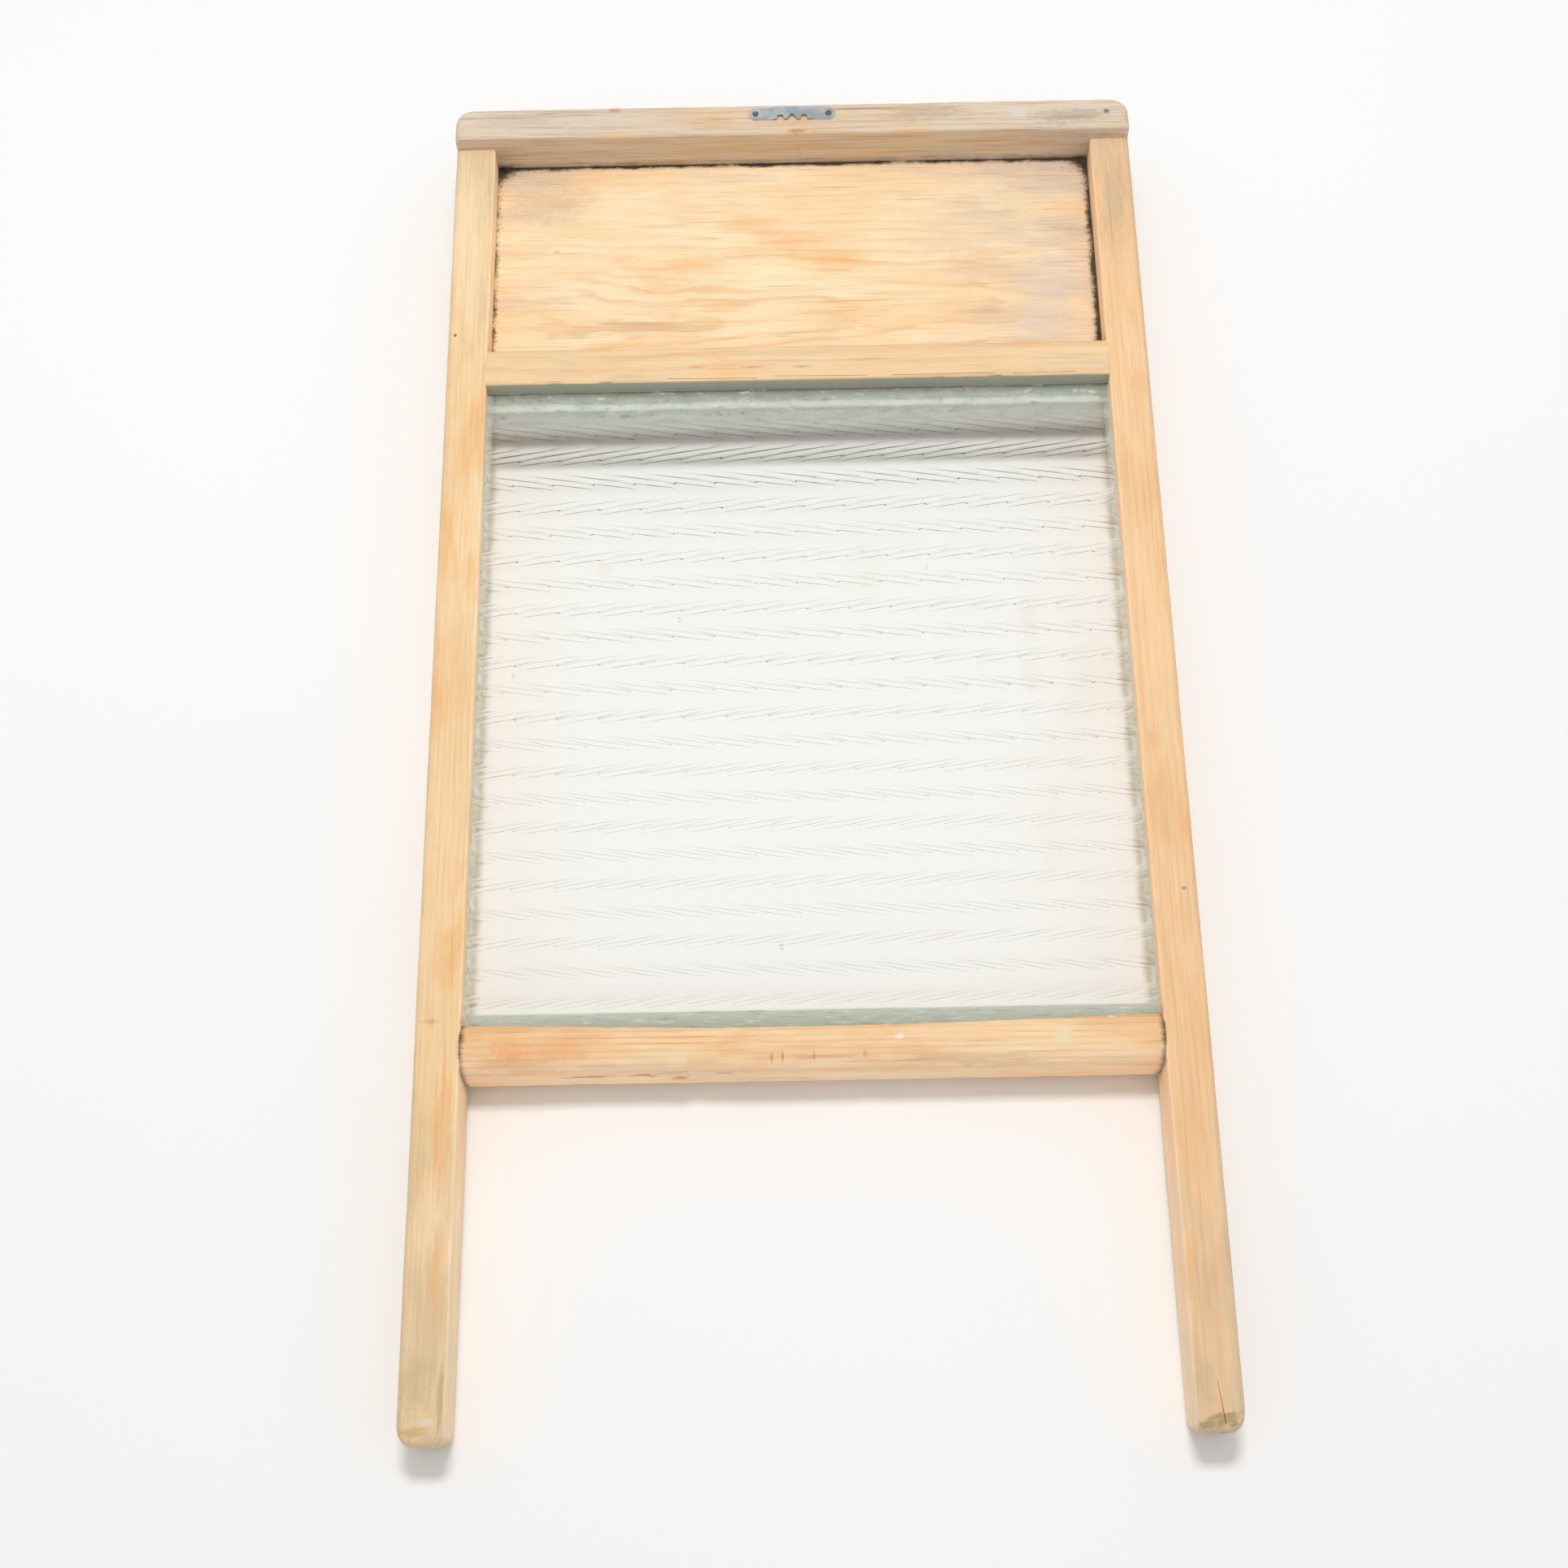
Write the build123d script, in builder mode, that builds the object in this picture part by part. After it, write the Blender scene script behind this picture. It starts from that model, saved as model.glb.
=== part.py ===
"""Household washboard with a pressed-glass rubbing plate in a softwood frame.

The board lies on its front, back face up, as it does on a table.
+X runs across the board, +Y runs from the feet to the head rail, +Z points out of the back.
The origin is under the middle of the board, on the plane that the head rail rests on.
All sizes are in millimetres.

Two grooved stiles carry everything. Each stile is tenoned into the head rail, the middle and
bottom rails are tenoned into the stiles, and a thin back board and the glass plate slide in the
stiles' grooves, held between the rails. Wire nails pin the joints, and a sawtooth picture hanger
is bradded to the back of the head rail.
"""

from build123d import *
import os

# ---------------------------------------------------------------- overall sizes
board_length = 610.0
board_width = 314.0

# ---------------------------------------------------------------- stiles
stile_width = 18.3
stile_depth = 28.6
stile_edge_radius = 2.0
leg_length = 144.2
foot_corner_radius = 8.0
groove_depth = 5.0
groove_corner_gap = 1.0

# ---------------------------------------------------------------- head rail
head_rail_height = 18.5
head_rail_overhang = 7.5
head_corner_radius = 9.0
head_top_radius = 4.0
head_arris_radius = 1.0
head_groove_depth = 7.0

# ---------------------------------------------------------------- middle and bottom rails
middle_rail_height = 20.5
middle_rail_soft_radius = 6.0
middle_rail_arris_radius = 1.0
bottom_rail_height = 21.0
bottom_rail_radius = 8.5
bottom_groove_depth = 7.0
bottom_tenon_length = 11.0
bottom_tenon_shoulder = 3.0
wear_depth = 4.6
wear_half_length = 137.0
wear_fade = 0.6

# ---------------------------------------------------------------- glass plate and back board
glass_opening_height = 296.3
glass_setback = 8.0
glass_web = 5.0
rib_diameter = 8.0
rib_pitch = 12.7
first_rib_offset = 9.8
last_rib_margin = 19.0
rib_end_margin = 1.5
glass_edge_radius = 1.5
panel_thickness = 5.0
panel_setback = 14.0

# ---------------------------------------------------------------- joints and clearances
head_tenon_wall = 2.0
head_tenon_depth = 14.0
head_mortise_cover = 6.5
head_tenon_shoulder = 2.5
tenon_clearance = 0.15
mortise_end_gap = 0.5
plate_clearance = 0.3
panel_clearance = 0.1

# how far a cut starts outside the wood, so that it opens cleanly
cut_past = 1.0

# ---------------------------------------------------------------- nails
nail_diameter = 2.0
nail_head_diameter = 4.0
nail_head_thickness = 0.8
nail_point_length = 3.0
nail_tip_diameter = 0.3
pin_length = 34.0
rail_nail_length = 38.0
nail_hole_clearance = 0.02

# ---------------------------------------------------------------- sawtooth hanger
hanger_length = 40.0
hanger_height = 6.4
hanger_end_radius = 2.9
hanger_thickness = 0.6
hanger_raise = 1.0
hanger_bridge_length = 15.0
hanger_ramp_length = 3.0
hanger_from_top = 7.4
hanger_hole_spacing = 34.0
hanger_hole_diameter = 1.7
notch_width = 4.6
notch_height = 2.8
side_notch_offset = 5.5
side_notch_radius = 1.5
side_notch_depth = 2.2
brad_diameter = 1.5
brad_head_diameter = 2.8
brad_head_thickness = 0.45
brad_head_round = 0.27
brad_length = 10.0

# ---------------------------------------------------------------- places worked out from the sizes
half_length = board_length / 2
half_width = board_width / 2
opening_width = board_width - 2 * stile_width
half_opening = opening_width / 2
head_rail_depth = stile_depth + 2 * head_rail_overhang
mid_z = head_rail_depth / 2
stile_front_z = mid_z - stile_depth / 2
stile_back_z = mid_z + stile_depth / 2

bottom_rail_low = -half_length + leg_length
bottom_rail_high = bottom_rail_low + bottom_rail_height
middle_rail_low = bottom_rail_high + glass_opening_height
middle_rail_high = middle_rail_low + middle_rail_height
head_rail_low = half_length - head_rail_height

glass_z = stile_back_z - glass_setback - glass_web / 2
groove_width = glass_web + 2 * plate_clearance
plate_width = opening_width + 2 * (groove_depth - groove_corner_gap)
glass_low = bottom_rail_high - bottom_groove_depth
glass_high = middle_rail_low + groove_depth - groove_corner_gap
panel_low = middle_rail_high - groove_depth
panel_high = head_rail_low + head_groove_depth - groove_corner_gap
panel_z = stile_back_z - panel_setback - panel_thickness / 2
panel_groove_width = panel_thickness + 2 * panel_clearance

stub_thickness = groove_width - 2 * tenon_clearance
stub_length = groove_depth - 2 * tenon_clearance
middle_tenon_low = middle_rail_low + groove_depth + tenon_clearance
middle_tenon_high = middle_rail_high - groove_depth
bottom_tenon_low = bottom_rail_low + bottom_tenon_shoulder
bottom_tenon_high = glass_low

head_tenon_width = stile_width - groove_depth - head_tenon_wall - head_tenon_shoulder
head_tenon_length = head_rail_height - head_mortise_cover - mortise_end_gap
head_tenon_x = half_width - head_tenon_shoulder - head_tenon_width / 2
pin_y = head_rail_low + head_tenon_length / 2
middle_nail_y = (middle_tenon_low + middle_tenon_high) / 2
bottom_nail_y = (bottom_tenon_low + bottom_tenon_high) / 2
hanger_y = half_length - hanger_from_top
hanger_base_z = head_rail_depth
brad_x = hanger_hole_spacing / 2
sides = {"left": -1, "right": 1}
onward = (Align.CENTER, Align.CENTER, Align.MIN)


def block(low, high, mode=Mode.ADD):
    """A box between two corners, on the workplane of the part being built."""
    middle = tuple((a + b) / 2 for a, b in zip(low, high))
    size = [abs(b - a) for a, b in zip(low, high)]
    with Locations(middle):
        Box(*size, mode=mode)


def spread(side, near, far):
    """The two x values at these distances from the middle of the board, on one side of it."""
    return side * near, side * far


def bore(start, direction, length):
    """Drives a nail hole from start, with a seat for the nail's head flush with the wood."""
    wide = nail_head_diameter / 2 + nail_hole_clearance
    narrow = nail_diameter / 2 + nail_hole_clearance
    with Locations(Plane(origin=start, z_dir=direction)):
        Cylinder(narrow, length + nail_hole_clearance, align=onward, mode=Mode.SUBTRACT)
        Cylinder(wide, nail_head_thickness + nail_hole_clearance, align=onward, mode=Mode.SUBTRACT)


def save(part, label):
    """Names a finished piece and writes it to its own file."""
    part.label = label
    export_step(part, f"parts/{label}.step")


def make_stile(name, side):
    """One side piece: leg, groove for the plates, mortises, and a tenon for the head rail."""
    middle_x = side * (half_opening + half_width) / 2
    with BuildPart() as stile:
        with BuildSketch(Plane.XY.offset(stile_front_z)):
            with Locations((middle_x, (head_rail_low - half_length) / 2)):
                outline = Rectangle(stile_width, head_rail_low + half_length)
            feet = outline.vertices().group_by(Axis.Y)[0].sort_by(Axis.X)
            fillet(feet[-1 if side > 0 else 0], radius=foot_corner_radius)
        extrude(amount=stile_depth)
        arrises = stile.edges().filter_by(
            lambda edge: edge.center().Y < head_rail_low - cut_past
            and abs(edge.tangent_at(0.5).Z) < 0.5
        )
        fillet(arrises, radius=stile_edge_radius)
        # tenon that enters the head rail, standing outside the groove
        near, far = spread(
            side,
            half_width - head_tenon_shoulder - head_tenon_width,
            half_width - head_tenon_shoulder,
        )
        block(
            (near, head_rail_low, mid_z - head_tenon_depth / 2),
            (far, head_rail_low + head_tenon_length, mid_z + head_tenon_depth / 2),
        )
        # groove for the glass plate, from the bottom rail to the top of the middle rail's tenon
        near, far = spread(side, half_opening - groove_depth, half_opening + groove_depth)
        block(
            (near, bottom_tenon_low - tenon_clearance, glass_z - groove_width / 2),
            (far, middle_tenon_high + tenon_clearance, glass_z + groove_width / 2),
            mode=Mode.SUBTRACT,
        )
        # groove for the back board, open at the head end
        block(
            (near, panel_low, panel_z - panel_groove_width / 2),
            (far, head_rail_low, panel_z + panel_groove_width / 2),
            mode=Mode.SUBTRACT,
        )
        # deeper mortise for the bottom rail
        near, far = spread(side, half_opening, half_opening + bottom_tenon_length + mortise_end_gap)
        block(
            (near, bottom_tenon_low - tenon_clearance, glass_z - groove_width / 2),
            (far, bottom_tenon_high, glass_z + groove_width / 2),
            mode=Mode.SUBTRACT,
        )
        for nail_y in (middle_nail_y, bottom_nail_y):
            bore((side * half_width, nail_y, glass_z), (-side, 0, 0), rail_nail_length)
        bore((side * head_tenon_x, pin_y, 0), (0, 0, 1), pin_length)
    save(stile.part, f"{name}_stile")


def make_head_rail():
    """The top rail: it stands proud of the stiles on both faces and takes their tenons."""
    with BuildPart() as rail:
        with BuildSketch(Plane.XY):
            with Locations((0, (half_length + head_rail_low) / 2)):
                outline = Rectangle(board_width, head_rail_height)
            fillet(outline.vertices().group_by(Axis.Y)[-1], radius=head_corner_radius)
        extrude(amount=head_rail_depth)
        top_edges = rail.edges().filter_by(
            lambda edge: edge.center().Y > head_rail_low + head_corner_radius / 2
            and abs(edge.tangent_at(0.5).Z) < 0.5
        )
        fillet(top_edges, radius=head_top_radius)
        lower_edges = rail.edges().filter_by(Axis.X).group_by(Axis.Y)[0]
        fillet(lower_edges, radius=head_arris_radius)
        # groove that takes the back board's top edge
        near = half_opening + groove_depth
        block(
            (-near, head_rail_low - cut_past, panel_z - panel_groove_width / 2),
            (near, head_rail_low + head_groove_depth, panel_z + panel_groove_width / 2),
            mode=Mode.SUBTRACT,
        )
        for side in sides.values():
            half_mortise = head_tenon_width / 2 + tenon_clearance
            half_thick = head_tenon_depth / 2 + tenon_clearance
            block(
                (side * head_tenon_x - half_mortise, head_rail_low - cut_past, mid_z - half_thick),
                (
                    side * head_tenon_x + half_mortise,
                    head_rail_low + head_tenon_length + mortise_end_gap,
                    mid_z + half_thick,
                ),
                mode=Mode.SUBTRACT,
            )
            bore((side * head_tenon_x, pin_y, 0), (0, 0, 1), pin_length)
            with BuildSketch(Plane.XY.offset(hanger_base_z)):
                with Locations((side * brad_x, hanger_y)):
                    Circle(brad_diameter / 2 + nail_hole_clearance)
            extrude(amount=hanger_thickness - brad_length - nail_hole_clearance, mode=Mode.SUBTRACT)
    save(rail.part, "head_rail")


def make_middle_rail():
    """The rail between the back board and the glass, with its upper edges softened."""
    with BuildPart() as rail:
        block(
            (-half_opening, middle_rail_low, stile_front_z),
            (half_opening, middle_rail_high, stile_back_z),
        )
        rows = rail.edges().filter_by(Axis.X).group_by(Axis.Y)
        fillet(rows[-1], radius=middle_rail_soft_radius)
        rows = rail.edges().filter_by(Axis.X).group_by(Axis.Y)
        fillet(rows[0], radius=middle_rail_arris_radius)
        half_tenon = half_opening + stub_length
        block(
            (-half_tenon, middle_tenon_low, glass_z - stub_thickness / 2),
            (half_tenon, middle_tenon_high, glass_z + stub_thickness / 2),
        )
        block(
            (-half_opening, panel_low, panel_z - panel_groove_width / 2),
            (half_opening, middle_rail_high + cut_past, panel_z + panel_groove_width / 2),
            mode=Mode.SUBTRACT,
        )
        block(
            (-half_opening, middle_rail_low - cut_past, glass_z - groove_width / 2),
            (half_opening, middle_rail_low + groove_depth, glass_z + groove_width / 2),
            mode=Mode.SUBTRACT,
        )
        for side in sides.values():
            bore((side * half_width, middle_nail_y, glass_z), (-side, 0, 0), rail_nail_length)
    save(rail.part, "middle_rail")


def make_bottom_rail():
    """The rounded rail under the glass, worn hollow along the back lip of its groove."""
    with BuildPart() as rail:
        block(
            (-half_opening, bottom_rail_low, stile_front_z),
            (half_opening, bottom_rail_high, stile_back_z),
        )
        fillet(rail.edges().filter_by(Axis.X), radius=bottom_rail_radius)
        half_tenon = half_opening + bottom_tenon_length
        block(
            (-half_tenon, bottom_tenon_low, glass_z - stub_thickness / 2),
            (half_tenon, bottom_tenon_high, glass_z + stub_thickness / 2),
        )
        block(
            (-half_opening, glass_low, glass_z - groove_width / 2),
            (half_opening, bottom_rail_high + cut_past, glass_z + groove_width / 2),
            mode=Mode.SUBTRACT,
        )
        # the hollow that years of rubbing wore into the lip
        with BuildSketch(Plane.XY.offset(glass_z)):
            with BuildLine():
                ThreePointArc(
                    (-wear_half_length, bottom_rail_high + wear_fade),
                    (0, bottom_rail_high - wear_depth),
                    (wear_half_length, bottom_rail_high + wear_fade),
                )
                Line(
                    (wear_half_length, bottom_rail_high + wear_fade),
                    (-wear_half_length, bottom_rail_high + wear_fade),
                )
            make_face()
        extrude(amount=stile_depth, mode=Mode.SUBTRACT)
        for side in sides.values():
            bore((side * half_width, bottom_nail_y, glass_z), (-side, 0, 0), rail_nail_length)
    save(rail.part, "bottom_rail")


def make_back_board():
    """The thin board that fills the frame above the middle rail."""
    with BuildPart() as board:
        block(
            (-plate_width / 2, panel_low, panel_z - panel_thickness / 2),
            (plate_width / 2, panel_high, panel_z + panel_thickness / 2),
        )
    save(board.part, "back_board")


def make_glass_plate():
    """The rubbing plate: a flat web with a round rib at every pitch, alike on both faces."""
    rib_room = middle_rail_low - last_rib_margin - (bottom_rail_high + first_rib_offset)
    rib_count = int(rib_room / rib_pitch) + 1
    rib_length = opening_width - 2 * rib_end_margin
    with BuildPart() as plate:
        with BuildSketch(Plane.YZ.offset(-plate_width / 2)):
            with Locations(((glass_low + glass_high) / 2, glass_z)):
                web = Rectangle(glass_high - glass_low, glass_web)
            fillet(web.vertices(), radius=glass_edge_radius)
        extrude(amount=plate_width)
        with BuildSketch(Plane.YZ.offset(-rib_length / 2)):
            for row in range(rib_count):
                with Locations((bottom_rail_high + first_rib_offset + row * rib_pitch, glass_z)):
                    Circle(rib_diameter / 2)
        extrude(amount=rib_length)
    save(plate.part, "glass_plate")


def make_nail(name, start, direction, length):
    """A round wire nail with a flat head, driven from start along direction."""
    plane = Plane(origin=start, z_dir=direction)
    shank_length = length - nail_point_length
    with BuildPart() as nail:
        with Locations(plane):
            Cylinder(nail_head_diameter / 2, nail_head_thickness, align=onward)
            Cylinder(nail_diameter / 2, shank_length, align=onward)
        with Locations(plane.offset(shank_length)):
            Cone(nail_diameter / 2, nail_tip_diameter / 2, nail_point_length, align=onward)
    save(nail.part, name)


def make_hanger():
    """The sawtooth hanger: a strip with flat ends, a raised bridge, and notches in its lower edge."""
    half_bridge = hanger_bridge_length / 2
    half_strip = hanger_length / 2
    ramp_foot = half_bridge + hanger_ramp_length
    with BuildPart() as hanger:
        with BuildSketch(Plane.XZ.offset(-(hanger_y + hanger_height / 2))):
            with BuildLine():
                Polyline(
                    (-half_strip, hanger_base_z),
                    (-ramp_foot, hanger_base_z),
                    (-half_bridge, hanger_base_z + hanger_raise),
                    (half_bridge, hanger_base_z + hanger_raise),
                    (ramp_foot, hanger_base_z),
                    (half_strip, hanger_base_z),
                    (half_strip, hanger_base_z + hanger_thickness),
                    (ramp_foot, hanger_base_z + hanger_thickness),
                    (half_bridge, hanger_base_z + hanger_raise + hanger_thickness),
                    (-half_bridge, hanger_base_z + hanger_raise + hanger_thickness),
                    (-ramp_foot, hanger_base_z + hanger_thickness),
                    (-half_strip, hanger_base_z + hanger_thickness),
                    close=True,
                )
            make_face()
        extrude(amount=hanger_height)
        ends = hanger.edges().filter_by(Axis.Z).group_by(Axis.X)
        fillet(ends[0] + ends[-1], radius=hanger_end_radius)
        low_edge = hanger_y - hanger_height / 2
        with BuildSketch(Plane.XY.offset(hanger_base_z)):
            with BuildLine():
                Polyline(
                    (-notch_width / 2, low_edge),
                    (0, low_edge + notch_height),
                    (notch_width / 2, low_edge),
                    (notch_width / 2, low_edge - cut_past),
                    (-notch_width / 2, low_edge - cut_past),
                    close=True,
                )
            make_face()
            for side in sides.values():
                slot_height = side_notch_depth - side_notch_radius
                with Locations((side * side_notch_offset, low_edge + slot_height)):
                    Circle(side_notch_radius)
                with Locations((side * side_notch_offset, low_edge + (slot_height - cut_past) / 2)):
                    Rectangle(2 * side_notch_radius, slot_height + cut_past)
                with Locations((side * brad_x, hanger_y)):
                    Circle(hanger_hole_diameter / 2)
        extrude(amount=hanger_raise + 2 * hanger_thickness, mode=Mode.SUBTRACT)
    save(hanger.part, "sawtooth_hanger")


def make_brad(name, side):
    """A small round-headed brad that holds one end of the hanger."""
    head_z = hanger_base_z + hanger_thickness
    with BuildPart() as brad:
        with BuildSketch(Plane.XY.offset(head_z)):
            with Locations((side * brad_x, hanger_y)):
                Circle(brad_head_diameter / 2)
        extrude(amount=brad_head_thickness)
        fillet(
            brad.edges().group_by(Axis.Z)[-1],
            radius=brad_head_round,
        )
        with BuildSketch(Plane.XY.offset(head_z)):
            with Locations((side * brad_x, hanger_y)):
                Circle(brad_diameter / 2)
        extrude(amount=-brad_length)
    save(brad.part, name)


os.makedirs("parts", exist_ok=True)
make_head_rail()
make_middle_rail()
make_bottom_rail()
make_back_board()
make_glass_plate()
make_hanger()
for name, side in sides.items():
    make_stile(name, side)
    make_nail(
        f"{name}_head_rail_nail",
        (side * head_tenon_x, pin_y, 0),
        (0, 0, 1),
        pin_length,
    )
    make_nail(
        f"{name}_middle_rail_nail",
        (side * half_width, middle_nail_y, glass_z),
        (-side, 0, 0),
        rail_nail_length,
    )
    make_nail(
        f"{name}_bottom_rail_nail",
        (side * half_width, bottom_nail_y, glass_z),
        (-side, 0, 0),
        rail_nail_length,
    )
    make_brad(f"{name}_hanger_brad", side)
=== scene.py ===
import math
import random

import bmesh
import bpy
from mathutils import Matrix, Vector, noise


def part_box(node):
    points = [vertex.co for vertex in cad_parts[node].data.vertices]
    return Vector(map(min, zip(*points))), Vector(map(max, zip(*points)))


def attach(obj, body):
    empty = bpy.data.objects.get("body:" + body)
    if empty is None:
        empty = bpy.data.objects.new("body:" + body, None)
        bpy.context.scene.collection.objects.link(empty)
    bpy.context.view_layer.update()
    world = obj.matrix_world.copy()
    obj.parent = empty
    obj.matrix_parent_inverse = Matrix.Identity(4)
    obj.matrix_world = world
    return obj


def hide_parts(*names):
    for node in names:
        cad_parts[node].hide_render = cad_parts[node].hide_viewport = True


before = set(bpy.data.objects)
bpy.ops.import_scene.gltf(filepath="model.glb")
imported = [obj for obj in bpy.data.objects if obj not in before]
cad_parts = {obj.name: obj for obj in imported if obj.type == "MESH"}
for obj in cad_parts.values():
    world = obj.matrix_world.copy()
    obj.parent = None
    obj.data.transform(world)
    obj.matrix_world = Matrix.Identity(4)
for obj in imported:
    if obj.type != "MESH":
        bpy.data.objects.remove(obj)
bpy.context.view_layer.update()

# The board lies on its front: +X across it, +Y from the feet to the head rail, +Z out of its back.
# All sizes are metres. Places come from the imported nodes' boxes.

MM = 0.001


def node_box(name):
    """Lowest and highest corner of a node."""
    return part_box(name)


head_lo, head_hi = node_box("head_rail")
stile_lo, stile_hi = node_box("right_stile")
mid_lo, mid_hi = node_box("middle_rail")
low_lo, low_hi = node_box("bottom_rail")
glass_lo, glass_hi = node_box("glass_plate")
board_lo, board_hi = node_box("back_board")

HALF_OPENING = stile_lo.x
HALF_WIDTH = stile_hi.x
BACK = stile_hi.z
FRONT = stile_lo.z
MIDDLE = (BACK + FRONT) / 2
FOOT = stile_lo.y
SHOULDER = head_lo.y


# ---------------------------------------------------------------- colour and node helpers
def srgb(red, green, blue):
    """A display colour, 0 to 255, as linear light with full alpha."""
    out = []
    for value in (red, green, blue):
        v = value / 255
        out.append(v / 12.92 if v <= 0.04045 else ((v + 0.055) / 1.055) ** 2.4)
    return (*out, 1.0)


class Weave:
    """Adds and joins shader or geometry nodes in one tree."""

    def __init__(self, tree):
        self.tree = tree

    def add(self, kind, **settings):
        node = self.tree.nodes.new(kind)
        for key, value in settings.items():
            setattr(node, key, value)
        return node

    def join(self, source, target):
        self.tree.links.new(source, target)

    def feed(self, socket, value):
        if isinstance(value, bpy.types.NodeSocket):
            self.join(value, socket)
        else:
            socket.default_value = value

    def math(self, operation, *values, clamp=False, kind="ShaderNodeMath"):
        node = self.add(kind, operation=operation)
        node.use_clamp = clamp
        for socket, value in zip(node.inputs, values):
            self.feed(socket, value)
        return node.outputs[0]

    def vector_math(self, operation, *values, scale=None):
        node = self.add("ShaderNodeVectorMath", operation=operation)
        for socket, value in zip(node.inputs, values):
            self.feed(socket, value)
        if scale is not None:
            self.feed(node.inputs["Scale"], scale)
        return node.outputs["Value" if operation in ("LENGTH", "DISTANCE") else "Vector"]

    def mix(self, factor, first, second, blend="MIX"):
        node = self.add("ShaderNodeMix", data_type="RGBA", blend_type=blend)
        node.clamp_factor = True
        self.feed(node.inputs[0], factor)
        self.feed(node.inputs[6], first)
        self.feed(node.inputs[7], second)
        return node.outputs[2]

    def span(self, value, low, high, to_low=0.0, to_high=1.0, smooth=True):
        node = self.add("ShaderNodeMapRange")
        node.interpolation_type = "SMOOTHSTEP" if smooth else "LINEAR"
        for socket, number in zip(node.inputs, (value, low, high, to_low, to_high)):
            self.feed(socket, number)
        return node.outputs[0]

    def noise(self, vector, scale, detail=2.0, rough=0.5, distort=0.0):
        node = self.add("ShaderNodeTexNoise")
        self.feed(node.inputs["Vector"], vector)
        self.feed(node.inputs["Scale"], scale)
        self.feed(node.inputs["Detail"], detail)
        self.feed(node.inputs["Roughness"], rough)
        self.feed(node.inputs["Distortion"], distort)
        return node.outputs[0]

    def stretch(self, vector, scale, offset=(0, 0, 0)):
        node = self.add("ShaderNodeMapping")
        self.join(vector, node.inputs["Vector"])
        self.feed(node.inputs["Scale"], scale)
        self.feed(node.inputs["Location"], offset)
        return node.outputs[0]


def new_group(name, inputs, outputs, kind="ShaderNodeTree"):
    """A node group with named inputs (name, type, default) and outputs (name, type)."""
    tree = bpy.data.node_groups.new(name, kind)
    for label, socket, default in inputs:
        made = tree.interface.new_socket(label, in_out="INPUT", socket_type=socket)
        if default is not None:
            made.default_value = default
    for label, socket in outputs:
        tree.interface.new_socket(label, in_out="OUTPUT", socket_type=socket)
    weave = Weave(tree)
    return weave, weave.add("NodeGroupInput"), weave.add("NodeGroupOutput")


def place_group(weave, tree, **values):
    """Places a shader node group and sets its named inputs."""
    node = weave.add("ShaderNodeGroup", node_tree=tree)
    for label, value in values.items():
        weave.feed(node.inputs[label.replace("_", " ")], value)
    return node


FLOAT = "NodeSocketFloat"
VECTOR = "NodeSocketVector"
COLOR = "NodeSocketColor"


# ---------------------------------------------------------------- shader groups
def build_pine_figure():
    """Growth rings, fibres and uneven colour of sawn pine. The grain runs along the vector's X."""
    w, given, out = new_group(
        "pine_figure",
        [
            ("Vector", VECTOR, None),
            ("Heart", VECTOR, (0.0, 0.05, 0.03)),
            ("Ring Spacing", FLOAT, 0.0026),
            ("Wander", FLOAT, 0.004),
            ("Drift", FLOAT, 1.0),
            ("Taper", FLOAT, 0.0),
            ("Uneven", FLOAT, 1.7),
        ],
        [("Ring", FLOAT), ("Fibre", FLOAT), ("Cloud", FLOAT), ("Flame", FLOAT), ("Line", FLOAT)],
    )
    vector = given.outputs["Vector"]
    swing = w.math("SUBTRACT", w.noise(w.stretch(vector, (7.0, 26.0, 26.0)), given.outputs["Drift"], 3.0), 0.5)
    shifted = w.vector_math("SUBTRACT", vector, given.outputs["Heart"])
    parts = w.add("ShaderNodeSeparateXYZ")
    w.join(shifted, parts.inputs[0])
    y2 = w.math("MULTIPLY", parts.outputs[1], parts.outputs[1])
    z2 = w.math("MULTIPLY", parts.outputs[2], parts.outputs[2])
    radius = w.math("SQRT", w.math("ADD", y2, z2))
    radius = w.math("MULTIPLY_ADD", parts.outputs[0], given.outputs["Taper"], radius)
    moved = w.math("MULTIPLY_ADD", swing, given.outputs["Wander"], radius)
    count = w.math("DIVIDE", moved, given.outputs["Ring Spacing"])
    uneven = w.math("MULTIPLY", w.noise(w.stretch(vector, (5.0, 170.0, 170.0)), 1.0, 3.0, 0.6), given.outputs["Uneven"])
    turn = w.math("FRACT", w.math("ADD", count, uneven))
    ring = w.math("MULTIPLY", w.span(turn, 0.42, 0.88), w.span(turn, 0.92, 1.0, 1.0, 0.0))
    patchy = w.noise(w.stretch(vector, (16.0, 120.0, 120.0)), 1.0, 5.0, 0.62)
    w.join(w.math("MULTIPLY", ring, w.span(patchy, 0.34, 0.66, 0.08, 1.0)), out.inputs["Ring"])
    w.join(w.noise(w.stretch(vector, (26.0, 1000.0, 1000.0)), 1.0, 7.0, 0.74), out.inputs["Fibre"])
    w.join(w.noise(w.stretch(vector, (12.0, 42.0, 42.0)), 1.0, 5.0, 0.6), out.inputs["Cloud"])
    flame = w.noise(w.stretch(vector, (17.0, 52.0, 52.0), (3.1, 1.7, 0.4)), 1.0, 4.0, 0.6, 0.6)
    w.join(flame, out.inputs["Flame"])
    line = w.noise(w.stretch(vector, (15.0, 800.0, 800.0), (0.7, 5.2, 2.2)), 1.0, 3.0, 0.55)
    w.join(w.span(line, 0.64, 0.73), out.inputs["Line"])
    return w.tree


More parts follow.
